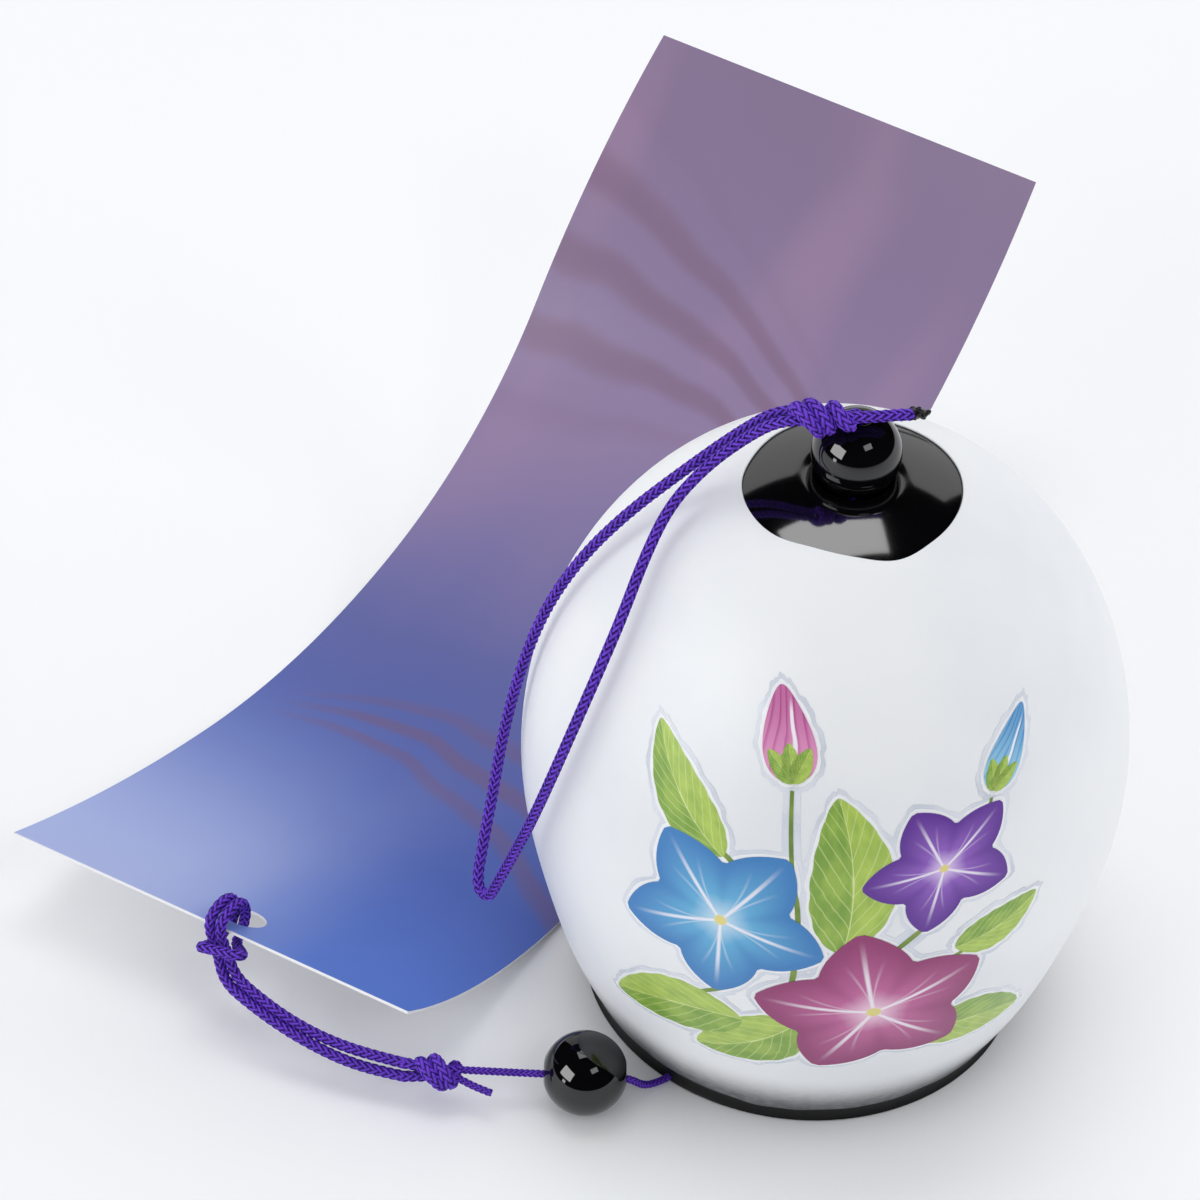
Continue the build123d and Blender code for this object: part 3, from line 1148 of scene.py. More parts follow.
    def print_stem(
        self, route: List[Tuple[float, float]], width: float, lift: float, name: str
    ) -> bpy.types.Object:
        """Lay one thin ribbon along a stem's route.

        Args:
            route: Control points of the stem.
            width: Width of the ribbon.
            lift: How far it stands off the coat.
            name: Name of the piece.

        Returns:
            The ribbon.
        """
        line = CordLine("stem_line", [(x, y, 0.0) for x, y in route]).points() / MM
        far = np.linspace(0, 1, len(line))
        Bench.clear()
        bpy.ops.mesh.primitive_grid_add(x_subdivisions=2, y_subdivisions=self.stem_steps, size=1.0)
        piece = bpy.context.object
        piece.name = name
        places = Bench.places(piece)
        share = places[:, 1] + 0.5
        side = places[:, 0]
        middle = np.stack([np.interp(share, far, line[:, axis]) for axis in (0, 1)], axis=1)
        ahead = np.gradient(line[:, :2], axis=0)
        ahead /= np.linalg.norm(ahead, axis=1)[:, None]
        run = np.stack([np.interp(share, far, ahead[:, axis]) for axis in (0, 1)], axis=1)
        taper = width * (self.stem_foot_share - self.stem_taper_share * share)
        flat = middle + np.stack([run[:, 1], -run[:, 0]], axis=1) * (side * taper)[:, None]
        Bench.move(piece, self.lay(flat, lift))
        return piece

    def finish_layer(self, pieces: List[bpy.types.Object], name: str, material: bpy.types.Material) -> None:
        """Join one layer's pieces, give them their thickness and finish, and set them on the bell."""
        layer = Bench.join(pieces, name)
        Bench.dress(layer, material)
        Bench.modify(layer, "SOLIDIFY", {"thickness": self.thickness * MM, "offset": -1.0})
        Bench.take(layer)
        bpy.ops.object.shade_smooth_by_angle(angle=math.radians(self.smooth_angle))
        seat(layer, Body.BELL, Slot.WHITE_COAT)

    def dress(self) -> None:
        """Print the film, the white ground, the stems and the motifs, each in its own layer."""
        disc = Bench.disc("spray_disc", self.sides, self.rows)
        motifs = self.motifs()
        stems = self.stems()
        film = [self.print_motif(disc, m, self.film_margin, self.film_lift, "film") for m in motifs]
        width = self.stem_width + 2 * self.film_margin
        film += [self.print_stem(s, width, self.film_lift - self.film_stem_drop, "film") for s in stems]
        self.finish_layer(film, "transfer_film", TransferFilm().material())
        ground = [self.print_motif(disc, m, self.white_margin, self.white_lift, "ground") for m in motifs]
        white = PlainInk("white_ink", tint(240, 241, 243), tint(232, 234, 238))
        self.finish_layer(ground, "transfer_ground", white.material())
        ribbons = [self.print_stem(s, self.stem_width, self.stem_lift, "stem") for s in stems]
        green = PlainInk("stem_ink", tint(132, 158, 62), tint(96, 126, 50))
        self.finish_layer(ribbons, "transfer_stems", green.material())
        inks = {
            "leaf": LeafPrint(),
            "blue": PetalPrint("blue_petals", tint(196, 224, 240), tint(96, 172, 216), tint(58, 126, 190)),
            "rose": PetalPrint("rose_petals", tint(240, 206, 226), tint(190, 96, 152), tint(146, 52, 110)),
            "violet": PetalPrint("violet_petals", tint(222, 200, 240), tint(142, 92, 190), tint(96, 48, 150)),
            "rose_bud": BudPrint("rose_bud_ink", tint(226, 150, 196), tint(176, 72, 138)),
            "blue_bud": BudPrint("blue_bud_ink", tint(150, 204, 232), tint(70, 134, 194)),
        }
        for ink, finish in inks.items():
            pieces = [self.print_motif(disc, m, 0.0, m.lift, ink) for m in motifs if m.ink == ink]
            self.finish_layer(pieces, f"transfer_{ink}", finish.material())
        bpy.data.objects.remove(disc)


@dataclass
class Bead:
    """One glossy black ball, bored through, on a cord."""

    name: str
    centre: Point
    run: Point
    body: Body
    node: str
    size: float = 10.0
    bore: float = 2.2
    bore_round: float = 0.3
    bore_steps: Tuple[float, ...] = (0.35, 0.75, 1.0)
    sides: int = 72
    rows: int = 36

    def build(self) -> bpy.types.Object:
        """Turn the ball with its bore about the upright, then lay it along its cord."""
        radius = self.size / 2
        mouth = math.asin((self.bore / 2 + self.bore_round) / radius)
        section = []
        for turn in np.linspace(mouth, math.pi - mouth, self.rows):
            section.append((radius * math.sin(turn), radius * math.cos(turn)))
        low = section[-1][1]
        for share in self.bore_steps:
            section.append((self.bore / 2 + self.bore_round * (1 - share), low + self.bore_round * share**2))
        section += [(r, -z) for r, z in section[:-len(self.bore_steps) - 1:-1]]
        piece = Bench.rings(self.name, section + section[:1], self.sides, True)
        lean = Vector((0, 0, 1)).rotation_difference(Vector(self.run)).to_matrix().to_4x4()
        piece.data.transform(Matrix.Translation(Vector(self.centre) * MM) @ lean)
        return piece

    def dress(self, material: bpy.types.Material) -> bpy.types.Object:
        """Build the bead, polish it and set it on its body."""
        piece = self.build()
        Bench.dress(piece, material)
        return seat(piece, self.body, Slot.BEAD, self.node)


BEADS = (
    Bead("crown_ball", (0.0, 0.0, 81.023), (0.0, 0.0, 1.0), Body.CROWN_BALL, "crown_bead"),
    Bead("stop_ball", (0.0, 0.0, 60.0), (0.0, 0.0, 1.0), Body.STOP_BALL, "stop_bead"),
    Bead("clapper_ball", (-25.36, -24.92, 5.0), (-0.9991, -0.0422, 0.0), Body.CLAPPER, "clapper_bead"),
)
BEAD_GLOSS = BlackGloss("bead_gloss", tint(8, 8, 10), ripple=0.05, index=1.6)


class CordLine:
    """Reads a cord's smooth line from the spline that its route's points control."""

    def __init__(self, name: str, route: Sequence[Point], resolution: int = 16) -> None:
        """Keep the route and how finely its line is read."""
        self.name = name
        self.route = route
        self.resolution = resolution

    def points(self) -> np.ndarray:
        """Read the line's points, in metres."""
        curve = bpy.data.curves.new(self.name, "CURVE")
        curve.dimensions = "3D"
        curve.resolution_u = self.resolution
        spline = curve.splines.new("NURBS")
        spline.points.add(len(self.route) - 1)
        for point, place in zip(spline.points, self.route):
            point.co = (place[0] * MM, place[1] * MM, place[2] * MM, 1.0)
        spline.order_u = 3
        spline.use_endpoint_u = True
        holder = bpy.data.objects.new(self.name, curve)
        bpy.context.scene.collection.objects.link(holder)
        bpy.context.view_layer.update()
        mesh = bpy.data.meshes.new_from_object(holder)
        places = np.array([vertex.co for vertex in mesh.vertices])
        bpy.data.objects.remove(holder)
        bpy.data.meshes.remove(mesh)
        return places


def along_line(line: np.ndarray) -> np.ndarray:
    """Measure a line from its start to each of its points."""
    return np.concatenate([[0], np.cumsum(np.linalg.norm(np.diff(line, axis=0), axis=1))])


@dataclass(frozen=True)
class SoftCord:
    bodies: Tuple[Body, Body]
    bends: Tuple[Point, Point]
    nodes: Tuple[str, ...]
    thickness: float
    far_end: str

    def tell(
        self, piece: bpy.types.Object, line: np.ndarray
    ) -> bpy.types.Object:
        """Fix a cord's mesh in place of its solids, and log its length.

        Args:
            piece: The braided cord.
            line: Points of its line, in metres.

        Returns:
            The cord.
        """
        near, far = self.bodies
        start, end = self.bends
        Vector(start) * MM
        Vector(end) * MM
        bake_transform(piece)
        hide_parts(*self.nodes)
        length = float(np.linalg.norm(np.diff(line, axis=0), axis=1).sum())
        LOG.info("%s is %.1f mm long", piece.name, length / MM)
        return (piece, self.thickness * MM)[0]


@dataclass
class Braid:
    """Round braid of yarns that cross over and under each other along a line."""

    thickness: float = 1.4
    yarns_each_way: int = 6
    pitch_share: float = 4.0
    yarn_width_share: float = 0.33
    yarn_height_share: float = 0.22
    sway_share: float = 0.13
    core_share: float = 0.55
    steps_per_pitch: int = 30
    fewest_steps: int = 8
    yarn_sides: int = 5
    core_sides: int = 7
    weave_beats: float = 4.0
    cap_spot: Tuple[float, float] = (0.0, 0.15)
    # UV turn that paints the core in the yarn's darkest shade: painted shade in the gaps between the yarns.
    gap_shade_turn: float = 0.75

    def even(self, line: np.ndarray) -> np.ndarray:
        """Space the read points of a line evenly for the yarns."""
        lengths = along_line(line)
        step = self.thickness * MM * self.pitch_share / self.steps_per_pitch
        stops = np.linspace(0, lengths[-1], max(self.fewest_steps, int(lengths[-1] / step)))
        return np.stack([np.interp(stops, lengths, line[:, axis]) for axis in range(3)], axis=1)

    @staticmethod
    def carried(line: np.ndarray) -> Tuple[np.ndarray, np.ndarray, np.ndarray]:
        """Carry two side directions along a line without twisting them.

        Args:
            line: Points of the line.

        Returns:
            The line's directions and the two side directions at each point.
        """
        ahead = np.gradient(line, axis=0)
        ahead /= np.linalg.norm(ahead, axis=1)[:, None]
        first = np.zeros_like(line)
        start = np.cross(ahead[0], (0.0, 0.0, 1.0))
        if np.linalg.norm(start) < 0.1:
            start = np.cross(ahead[0], (0.0, 1.0, 0.0))
        first[0] = start / np.linalg.norm(start)
        for index in range(1, len(line)):
            side = first[index - 1] - ahead[index] * np.dot(first[index - 1], ahead[index])
            first[index] = side / np.linalg.norm(side)
        return ahead, first, np.cross(ahead, first)

    def yarn(
        self, line: np.ndarray, first: np.ndarray, second: np.ndarray, turn: np.ndarray, reach: np.ndarray
    ) -> np.ndarray:
        """Sweep one yarn's flattened section along its winding path.

        Args:
            line: Points of the cord's line.
            first: First side direction at each point.
            second: Second side direction at each point.
            turn: The yarn's turn about the line at each point.
            reach: Its distance from the line.

        Returns:
            Rings of points, by step, side and axis.
        """
        outward = first * np.cos(turn)[:, None] + second * np.sin(turn)[:, None]
        middle = line + outward * reach[:, None]
        run = np.gradient(middle, axis=0)
        run /= np.linalg.norm(run, axis=1)[:, None]
        beside = np.cross(run, outward)
        radius = self.thickness * MM / 2
        around = np.arange(self.yarn_sides) / self.yarn_sides * FULL_TURN
        wide = beside[:, None, :] * (np.cos(around) * radius * self.yarn_width_share)[None, :, None]
        high = outward[:, None, :] * (np.sin(around) * radius * self.yarn_height_share)[None, :, None]
        return middle[:, None, :] + wide + high

    def build(self, name: str, lines: Sequence[np.ndarray]) -> bpy.types.Object:
        """Braid the cord along one or more lines.

        Args:
            name: Name of the piece.
            lines: Points of each line, in metres.

        Returns:
            The braided piece.
        """
        places: List[np.ndarray] = []
        faces: List[Tuple[int, ...]] = []
        uvs: List[Tuple[float, float]] = []
        for line in lines:
            self._braid_line(self.even(line), places, faces, uvs)
        mesh = bpy.data.meshes.new(name)
        mesh.from_pydata(np.concatenate(places).tolist(), [], faces)
        layer = mesh.uv_layers.new(name="UVMap")
        layer.data.foreach_set("uv", np.array(uvs, dtype=np.float32).ravel())
        mesh.polygons.foreach_set("use_smooth", [True] * len(mesh.polygons))
        mesh.update()
        piece = bpy.data.objects.new(name, mesh)
        bpy.context.scene.collection.objects.link(piece)
        return piece

    def _braid_line(
        self, line: np.ndarray, places: List[np.ndarray], faces: List[Any], uvs: List[Any]
    ) -> None:
        """Add the core and the yarns of one line to the lists."""
        _, first, second = self.carried(line)
        radius = self.thickness * MM / 2
        lengths = along_line(line)
        phase = lengths / (self.thickness * MM * self.pitch_share)
        beat = phase * self.yarns_each_way * 2
        middle_share = 1 - self.sway_share - self.yarn_height_share
        around = (np.arange(self.core_sides) / self.core_sides * FULL_TURN)[None, :, None]
        hoop = first[:, None, :] * np.cos(around) + second[:, None, :] * np.sin(around)
        core = line[:, None, :] + hoop * radius * self.core_share
        self._add(core, lengths, places, faces, uvs, gap_shaded=True)
        for way in (1, -1):
            for count in range(self.yarns_each_way):
                start = count / self.yarns_each_way + (0.0 if way > 0 else 0.5 / self.yarns_each_way)
                turn = FULL_TURN * (start + way * phase)
                lean = beat + 2 * count - 1 if way > 0 else 2 * count - beat
                sway = way * self.sway_share * np.cos(FULL_TURN * lean / self.weave_beats)
                reach = radius * (middle_share + sway)
                self._add(self.yarn(line, first, second, turn, reach), lengths, places, faces, uvs)

    def _add(
        self,
        rings: np.ndarray,
        lengths: np.ndarray,
        places: List[np.ndarray],
        faces: List[Any],
        uvs: List[Any],
        gap_shaded: bool = False,
    ) -> None:
        """Add one swept tube, closed at both ends. The core tube is painted all round in the yarn's darkest
        shade, as painted shade in the gaps between the yarns.
        """
        start = sum(len(block) for block in places)
        steps, sides, _ = rings.shape
        places.append(rings.reshape(-1, 3))
        for step in range(steps - 1):
            near, far = lengths[step] / MM, lengths[step + 1] / MM
            for side in range(sides):
                other = (side + 1) % sides
                low = start + step * sides
                faces.append((low + side, low + other, low + sides + other, low + sides + side))
                # The core's faces all take the darkest UV turn: painted shade.
                v0, v1 = (self.gap_shade_turn,) * 2 if gap_shaded else (side / sides, (side + 1) / sides)
                uvs.extend([(near, v0), (near, v1), (far, v1), (far, v0)])
        faces.append(tuple(start + side for side in reversed(range(sides))))
        uvs.extend([self.cap_spot] * sides)
        last = start + (steps - 1) * sides
        faces.append(tuple(last + side for side in range(sides)))
        uvs.extend([self.cap_spot] * sides)


@dataclass
class OverhandKnot:
    """Overhand knot: uneven leaning wraps of cord round the strands that run through it."""

    centre: Point
    run: Point
    reach: float
    turns: float
    pitch: float
    lean: float
    view_turn: float = 43.0
    first_turn: float = 140.0
    step: float = 45.0
    uneven_lean_share: float = 0.75
    uneven_reach_share: float = 0.16
    uneven_pace: float = 2.6
    tuck_share: float = 0.55

    def line(self) -> np.ndarray:
        """Read the smooth line of the wraps, in metres."""
        along = Vector(self.run).normalized()
        side = along.cross(Vector((0, 0, 1))).normalized()
        up = side.cross(along)
        count = int(self.turns * 360 / self.step)
        route = []
        for index in range(count + 1):
            turn = math.radians(self.first_turn - self.step * index)
            ahead = self.pitch * (self.step * index / 360 - self.turns / 2)
            sway = math.sin(self.uneven_pace * self.step * index / 360)
            lean = self.lean * (1 + self.uneven_lean_share * sway)
            ahead -= lean * math.sin(turn - math.radians(self.view_turn))
            share = self.tuck_share if index in (0, count) else 1 + self.uneven_reach_share * sway
            reach = self.reach * share
            place = Vector(self.centre) + along * ahead
            place += (side * math.cos(turn) + up * math.sin(turn)) * reach
            route.append(tuple(place))
        return CordLine("knot_line", route).points()


@dataclass
class HangingLoop:
    """Cord loop that hangs the bell: knot on the crown bead, draped loop and melted ends."""

    thickness: float = 1.4
    knot_centre: Point = (-4.3, -2.5, 87.6)
    knot_run: Point = (1.0, 0.06, 0.02)
    route: Tuple[Point, ...] = (
        (-6.2, -1.5, 87.5),
        (-8.7, -0.9, 87.2), (-12.9, 0.5, 82.4), (-18.6, 0.2, 76.6), (-24.4, -0.2, 70.4),
        (-29.2, -0.4, 63.6), (-32.9, -0.8, 56.0), (-35.3, -2.2, 48.0), (-36.9, -3.9, 39.8),
        (-37.9, -6.9, 31.6), (-38.7, -10.1, 26.6), (-39.2, -13.0, 22.9), (-37.6, -14.7, 22.7),
        (-36.6, -15.6, 26.6), (-35.0, -16.5, 32.0),
        (-33.0, -18.2, 39.6), (-31.0, -19.0, 47.4), (-28.9, -18.4, 54.6), (-26.6, -16.4, 61.2),
        (-24.4, -13.3, 66.6), (-22.4, -8.4, 70.8), (-20.0, -3.9, 74.8), (-16.4, -2.0, 79.1),
        (-12.5, -1.7, 83.2), (-8.7, -2.6, 87.1),
        (-6.2, -3.1, 87.6),
    )
    near_end: Tuple[Point, ...] = (
        (-6.6, -3.1, 87.6), (-4.2, -3.2, 87.8), (-1.7, -2.8, 88.0), (2.0, -2.4, 88.2), (5.4, -1.5, 87.9),
    )
    far_end: Tuple[Point, ...] = (
        (-6.6, -1.6, 87.4), (-4.2, -1.6, 87.2), (-1.7, -1.6, 87.0), (1.7, -1.3, 87.2), (4.9, -0.3, 86.9),
    )
    bends: Tuple[Point, Point] = ((-7.4, -1.8, 87.6), (-10.6, -1.6, 85.6))
    tip_lumps: Tuple[Point, ...] = (
        (0.1, 0.62, 0.0), (0.62, 0.56, 0.18), (1.2, 0.44, -0.12), (1.7, 0.34, 0.12),
    )
    tip_voxel: float = 0.09
    tip_grain: float = 4.2
    tip_paces: Point = (1.7, 2.3, 1.9)
    tip_wobble: float = 0.07

    def dress(self, yarn: bpy.types.Material) -> None:
        """Braid the loop, tie the knot and seal the ends."""
        braid = Braid(self.thickness)
        knot = OverhandKnot(self.knot_centre, self.knot_run, reach=1.35, turns=2.5, pitch=1.85, lean=0.7)
        tied = Braid(thickness=1.75, yarns_each_way=8).build("crown_knot", [knot.line()])
        Bench.dress(tied, yarn)
        seat(tied, Body.HANGER, Slot.CORD, "loop_knot")
        ends = braid.build("cut_ends", [CordLine("end", r).points() for r in (self.near_end, self.far_end)])
        Bench.dress(ends, yarn)
        seat(ends, Body.HANGER, Slot.CORD, "loop_ends")
        tips = self.tips()
        line = CordLine("loop_line", self.route).points()
        loop = braid.build("draped_loop", [line])
        Bench.dress(loop, yarn)
        cord = SoftCord((Body.HANGER, Body.LOOP), self.bends, ("hanging_loop",), self.thickness, "object")
        cord.tell(loop, line)

    def tips(self) -> bpy.types.Object:
        """Melt a lump onto each cut end."""
        lumps = []
        for route in (self.near_end, self.far_end):
            end = Vector(route[-1])
            ahead = (end - Vector(route[-2])).normalized()
            for reach, size, side in self.tip_lumps:
                Bench.clear()
                place = (end + ahead * reach + Vector((0, side, side))) * MM
                bpy.ops.mesh.primitive_ico_sphere_add(subdivisions=3, radius=size * MM, location=place)
                lump = bpy.context.object
                bpy.ops.object.transform_apply(location=True, rotation=True, scale=True)
                lumps.append(lump)
        tips = Bench.join(lumps, "melted_tips")
        Bench.modify(tips, "REMESH", {"mode": "VOXEL", "voxel_size": self.tip_voxel * MM})
        places = Bench.places(tips)
        x, y, z = (places / MM * self.tip_grain).T
        first, second, third = self.tip_paces
        wobble = np.sin(x * first + np.sin(y * second)) * np.sin(z * third + y)
        normals = np.array([vertex.normal for vertex in tips.data.vertices])
        Bench.move(tips, places + normals * (wobble * self.tip_wobble * MM)[:, None])
        Bench.take(tips)
        bpy.ops.object.shade_smooth()
        Bench.dress(tips, MeltedTip().material())
        return seat(tips, Body.HANGER, Slot.BURNT_CORD, "burnt_tips")


@dataclass
class ClapperLine:
    """Thin cord inside the bell and under its rim, with its stop and the lower knot."""

    thickness: float = 0.95
    thick_cord: float = 1.4
    crown_route: Tuple[Point, ...] = (
        (-2.6, -2.4, 87.6), (-0.9, -0.8, 87.2), (-0.05, 0.0, 86.4), (0.0, 0.05, 82.0), (0.0, 0.0, 72.0),
        (0.05, 0.0, 62.0), (0.0, 0.0, 52.6),
    )
    rim_route: Tuple[Point, ...] = (
        (0.0, 0.0, 51.2), (0.4, -0.3, 45.0), (0.9, -1.2, 36.5), (0.6, -2.6, 27.5), (-0.6, -4.6, 18.5),
        (-2.8, -7.6, 10.0), (-6.0, -11.8, 4.0), (-10.2, -15.8, 0.72), (-13.9, -19.6, 0.53),
        (-15.6, -21.1, 0.53), (-16.9, -22.0, 0.6), (-18.0, -22.9, 1.1), (-18.9, -23.7, 2.2),
        (-19.8, -24.4, 3.6), (-21.2, -24.75, 4.4), (-30.0, -25.11, 4.6), (-40.3, -25.55, 5.0),
    )
    bends: Tuple[Point, Point] = ((0.0, 0.0, 12.0), (0.0, 0.0, 50.0))
    stop_knot_centre: Point = (0.0, 0.0, 53.2)
    stop_knot_run: Point = (0.05, 0.0, 1.0)
    knot_centre: Point = (-42.1, -25.9, 4.8)
    knot_run: Point = (1.0, -0.05, 0.0)
    tail_route: Tuple[Point, ...] = (
        (-41.6, -26.0, 4.9), (-40.0, -26.4, 4.5), (-38.2, -27.1, 4.0), (-36.1, -27.7, 3.7),
    )
    knot_strands: Tuple[Tuple[Point, ...], ...] = (
        ((-46.8, -25.5, 5.65), (-44.6, -25.7, 5.5), (-42.0, -25.8, 5.0), (-39.8, -25.7, 4.9)),
        ((-46.8, -26.3, 4.15), (-44.6, -26.3, 4.3), (-42.0, -26.0, 4.5), (-40.0, -25.8, 4.7)),
    )

    def dress(self, yarn: bpy.types.Material) -> None:
        """Braid the thin cord and tie its knots."""
        thin = Braid(self.thickness)
        thick = Braid(self.thick_cord)
        crown = thin.build("crown_line", [CordLine("crown_line", self.crown_route).points()])
        Bench.dress(crown, yarn)
        seat(crown, Body.HANGER, Slot.CORD, "crown_cord")
        stop = OverhandKnot(
            self.stop_knot_centre, self.stop_knot_run, reach=1.0, turns=2.0, pitch=1.1, lean=0.4
        )
        stop_piece = thin.build("inner_knot", [stop.line()])
        Bench.dress(stop_piece, yarn)
        seat(stop_piece, Body.HANGER, Slot.CORD, "stop_knot")
        knot = OverhandKnot(self.knot_centre, self.knot_run, reach=1.3, turns=2.0, pitch=1.85, lean=0.75)
        strands = [CordLine("strand", route).points() for route in self.knot_strands]
        wraps = Braid(thickness=1.8, yarns_each_way=8).build("strip_knot_wraps", [knot.line()])
        body = Bench.join([wraps, thick.build("strip_knot_strands", strands)], "strip_knot_wraps")
        Bench.dress(body, yarn)
        seat(body, Body.BELL, Slot.CORD, "strip_knot")
        tail = thin.build("strip_knot_tail", [CordLine("tail", self.tail_route).points()])
        Bench.dress(tail, yarn)
        seat(tail, Body.BELL, Slot.CORD)
        line = CordLine("rim_line", self.rim_route).points()
        rim = thin.build("rim_line", [line])
        Bench.dress(rim, yarn)
        cord = SoftCord((Body.BELL, Body.HANGER), self.bends, ("rim_cord",), self.thickness, "knot")
        cord.tell(rim, line)


@dataclass(frozen=True)
class EdgeCurl:
    """One long edge of the strip: where it starts, which way it runs and how it curls."""

    start: Point
    heading: float
    near_slope: float
    radii: Tuple[float, ...]
    length: float = 158.8
    steps: int = 2000
    spare: float = 2.0

    def places(self, along: np.ndarray) -> np.ndarray:
        """Follow the edge.

        Args:
            along: Lengths from the near end.

        Returns:
            The places, in millimetres.
        """
        fine = np.linspace(-self.spare, self.length + self.spare, self.steps)
        gap = fine[1] - fine[0]
        bends = np.array([1 / radius for radius in self.radii])
        zone = np.clip((fine / self.length * len(bends)).astype(int), 0, len(bends) - 1)
        slope = np.cumsum(bends[zone] * gap)
        slope -= np.interp(0.0, fine, slope) + math.radians(self.near_slope)
        level = np.cumsum(np.cos(slope) * gap)
        height = np.cumsum(np.sin(slope) * gap)
        ahead = np.interp(along, fine, level - np.interp(0.0, fine, level))
        rise = np.interp(along, fine, height - np.interp(0.0, fine, height))
        turn = math.radians(self.heading)
        way = np.stack([ahead * math.cos(turn), ahead * math.sin(turn), rise], axis=-1)
        return way + np.array(self.start)


@dataclass
class PaperStrip:
    """Curled paper strip with a punched hole, printed on its upper face."""

    width: float = 54.8
    length: float = 158.8
    paper: float = 0.32
    right: EdgeCurl = EdgeCurl((-46.15, -24.7, 13.5), 58.59, 38.1, (62.6, 134.0, 138.1, 96.3))
    left: EdgeCurl = EdgeCurl((-95.17, -0.19, 13.73), 58.17, 24.1, (174.6, 85.3, 60.0, -118.7))
    punch: float = 5.2
    punch_along: float = 5.4
    punch_across: float = 25.6
    columns: int = 44
    rows: int = 128
    punch_sides: int = 40
    punch_depth: float = 4.0
    smooth_angle: float = 40.0

    def spots(self, across: np.ndarray, along: np.ndarray) -> np.ndarray:
        """Place points of the flat strip on the curled one, in millimetres.

        Args:
            across: Distances from the right edge.
            along: Distances from the near edge.

        Returns:
            The places on the middle of the paper.
        """
        share = (across / self.width)[..., None]
        return self.right.places(along) * (1 - share) + self.left.places(along) * share

    def axes(self, across: np.ndarray, along: np.ndarray) -> Tuple[np.ndarray, np.ndarray, np.ndarray]:
        """Give the directions to the left, into the strip and off its printed face."""
        step = 0.5
        leftward = self.spots(across + step, along) - self.spots(across - step, along)
        inward = self.spots(across, along + step) - self.spots(across, along - step)
        leftward /= np.linalg.norm(leftward, axis=-1)[..., None]
        inward /= np.linalg.norm(inward, axis=-1)[..., None]
        return leftward, inward, np.cross(inward, leftward)

    def build(self) -> bpy.types.Object:
        """Cut the flat strip, punch it, map the print, then curl it."""
        Bench.clear()
        middle = (self.width / 2 * MM, self.length / 2 * MM, 0)
        bpy.ops.mesh.primitive_grid_add(
            x_subdivisions=self.columns, y_subdivisions=self.rows, size=1.0, location=middle
        )
        piece = bpy.context.object
        piece.name = "printed_strip"
        piece.scale = (self.width * MM, self.length * MM, 1)
        bpy.ops.object.transform_apply(location=True, rotation=True, scale=True)
        Bench.dress(piece, StripPrint().material(), PlainPaper().material())
        settings = {
            "thickness": self.paper * MM, "offset": 0.0, "material_offset": 1, "material_offset_rim": 1,
        }
        Bench.modify(piece, "SOLIDIFY", settings)
        self._punch_hole(piece)
        places = Bench.places(piece) / MM
        self._map_print(piece, places)
        across, along, lift = places[:, 0], places[:, 1], places[:, 2]
        _, _, off = self.axes(across, along)
        Bench.move(piece, (self.spots(across, along) + off * lift[:, None]) * MM)
        Bench.face_out(piece)
        bpy.ops.object.shade_smooth_by_angle(angle=math.radians(self.smooth_angle))
        return piece

    def _punch_hole(self, piece: bpy.types.Object) -> None:
        """Cut the hole near the edge with a round punch."""
        Bench.clear()
        place = (self.punch_across * MM, self.punch_along * MM, 0)
        bpy.ops.mesh.primitive_cylinder_add(
            vertices=self.punch_sides, radius=self.punch / 2 * MM, depth=self.punch_depth * MM, location=place
        )
        punch = bpy.context.object
        bpy.ops.object.transform_apply(location=True, rotation=True, scale=True)
        Bench.dress(punch, piece.data.materials[1])
        Bench.modify(piece, "BOOLEAN", {"object": punch, "operation": "DIFFERENCE", "solver": "EXACT"})
        bpy.data.objects.remove(punch)

    def _map_print(self, piece: bpy.types.Object, places: np.ndarray) -> None:
        """Map the flat strip across and along to its print."""
        mesh = piece.data
        layer = mesh.uv_layers.active or mesh.uv_layers.new(name="UVMap")
        for loop in mesh.loops:
            place = places[loop.vertex_index]
            layer.data[loop.index].uv = (place[0] / self.width, place[1] / self.length)

    def dress(self, hitch: bpy.types.Object) -> bpy.types.Object:
        """Build the strip and set it on its body."""
        piece = self.build()
        seat(piece, Body.STRIP, Slot.PAPER, "paper_strip")
        return piece


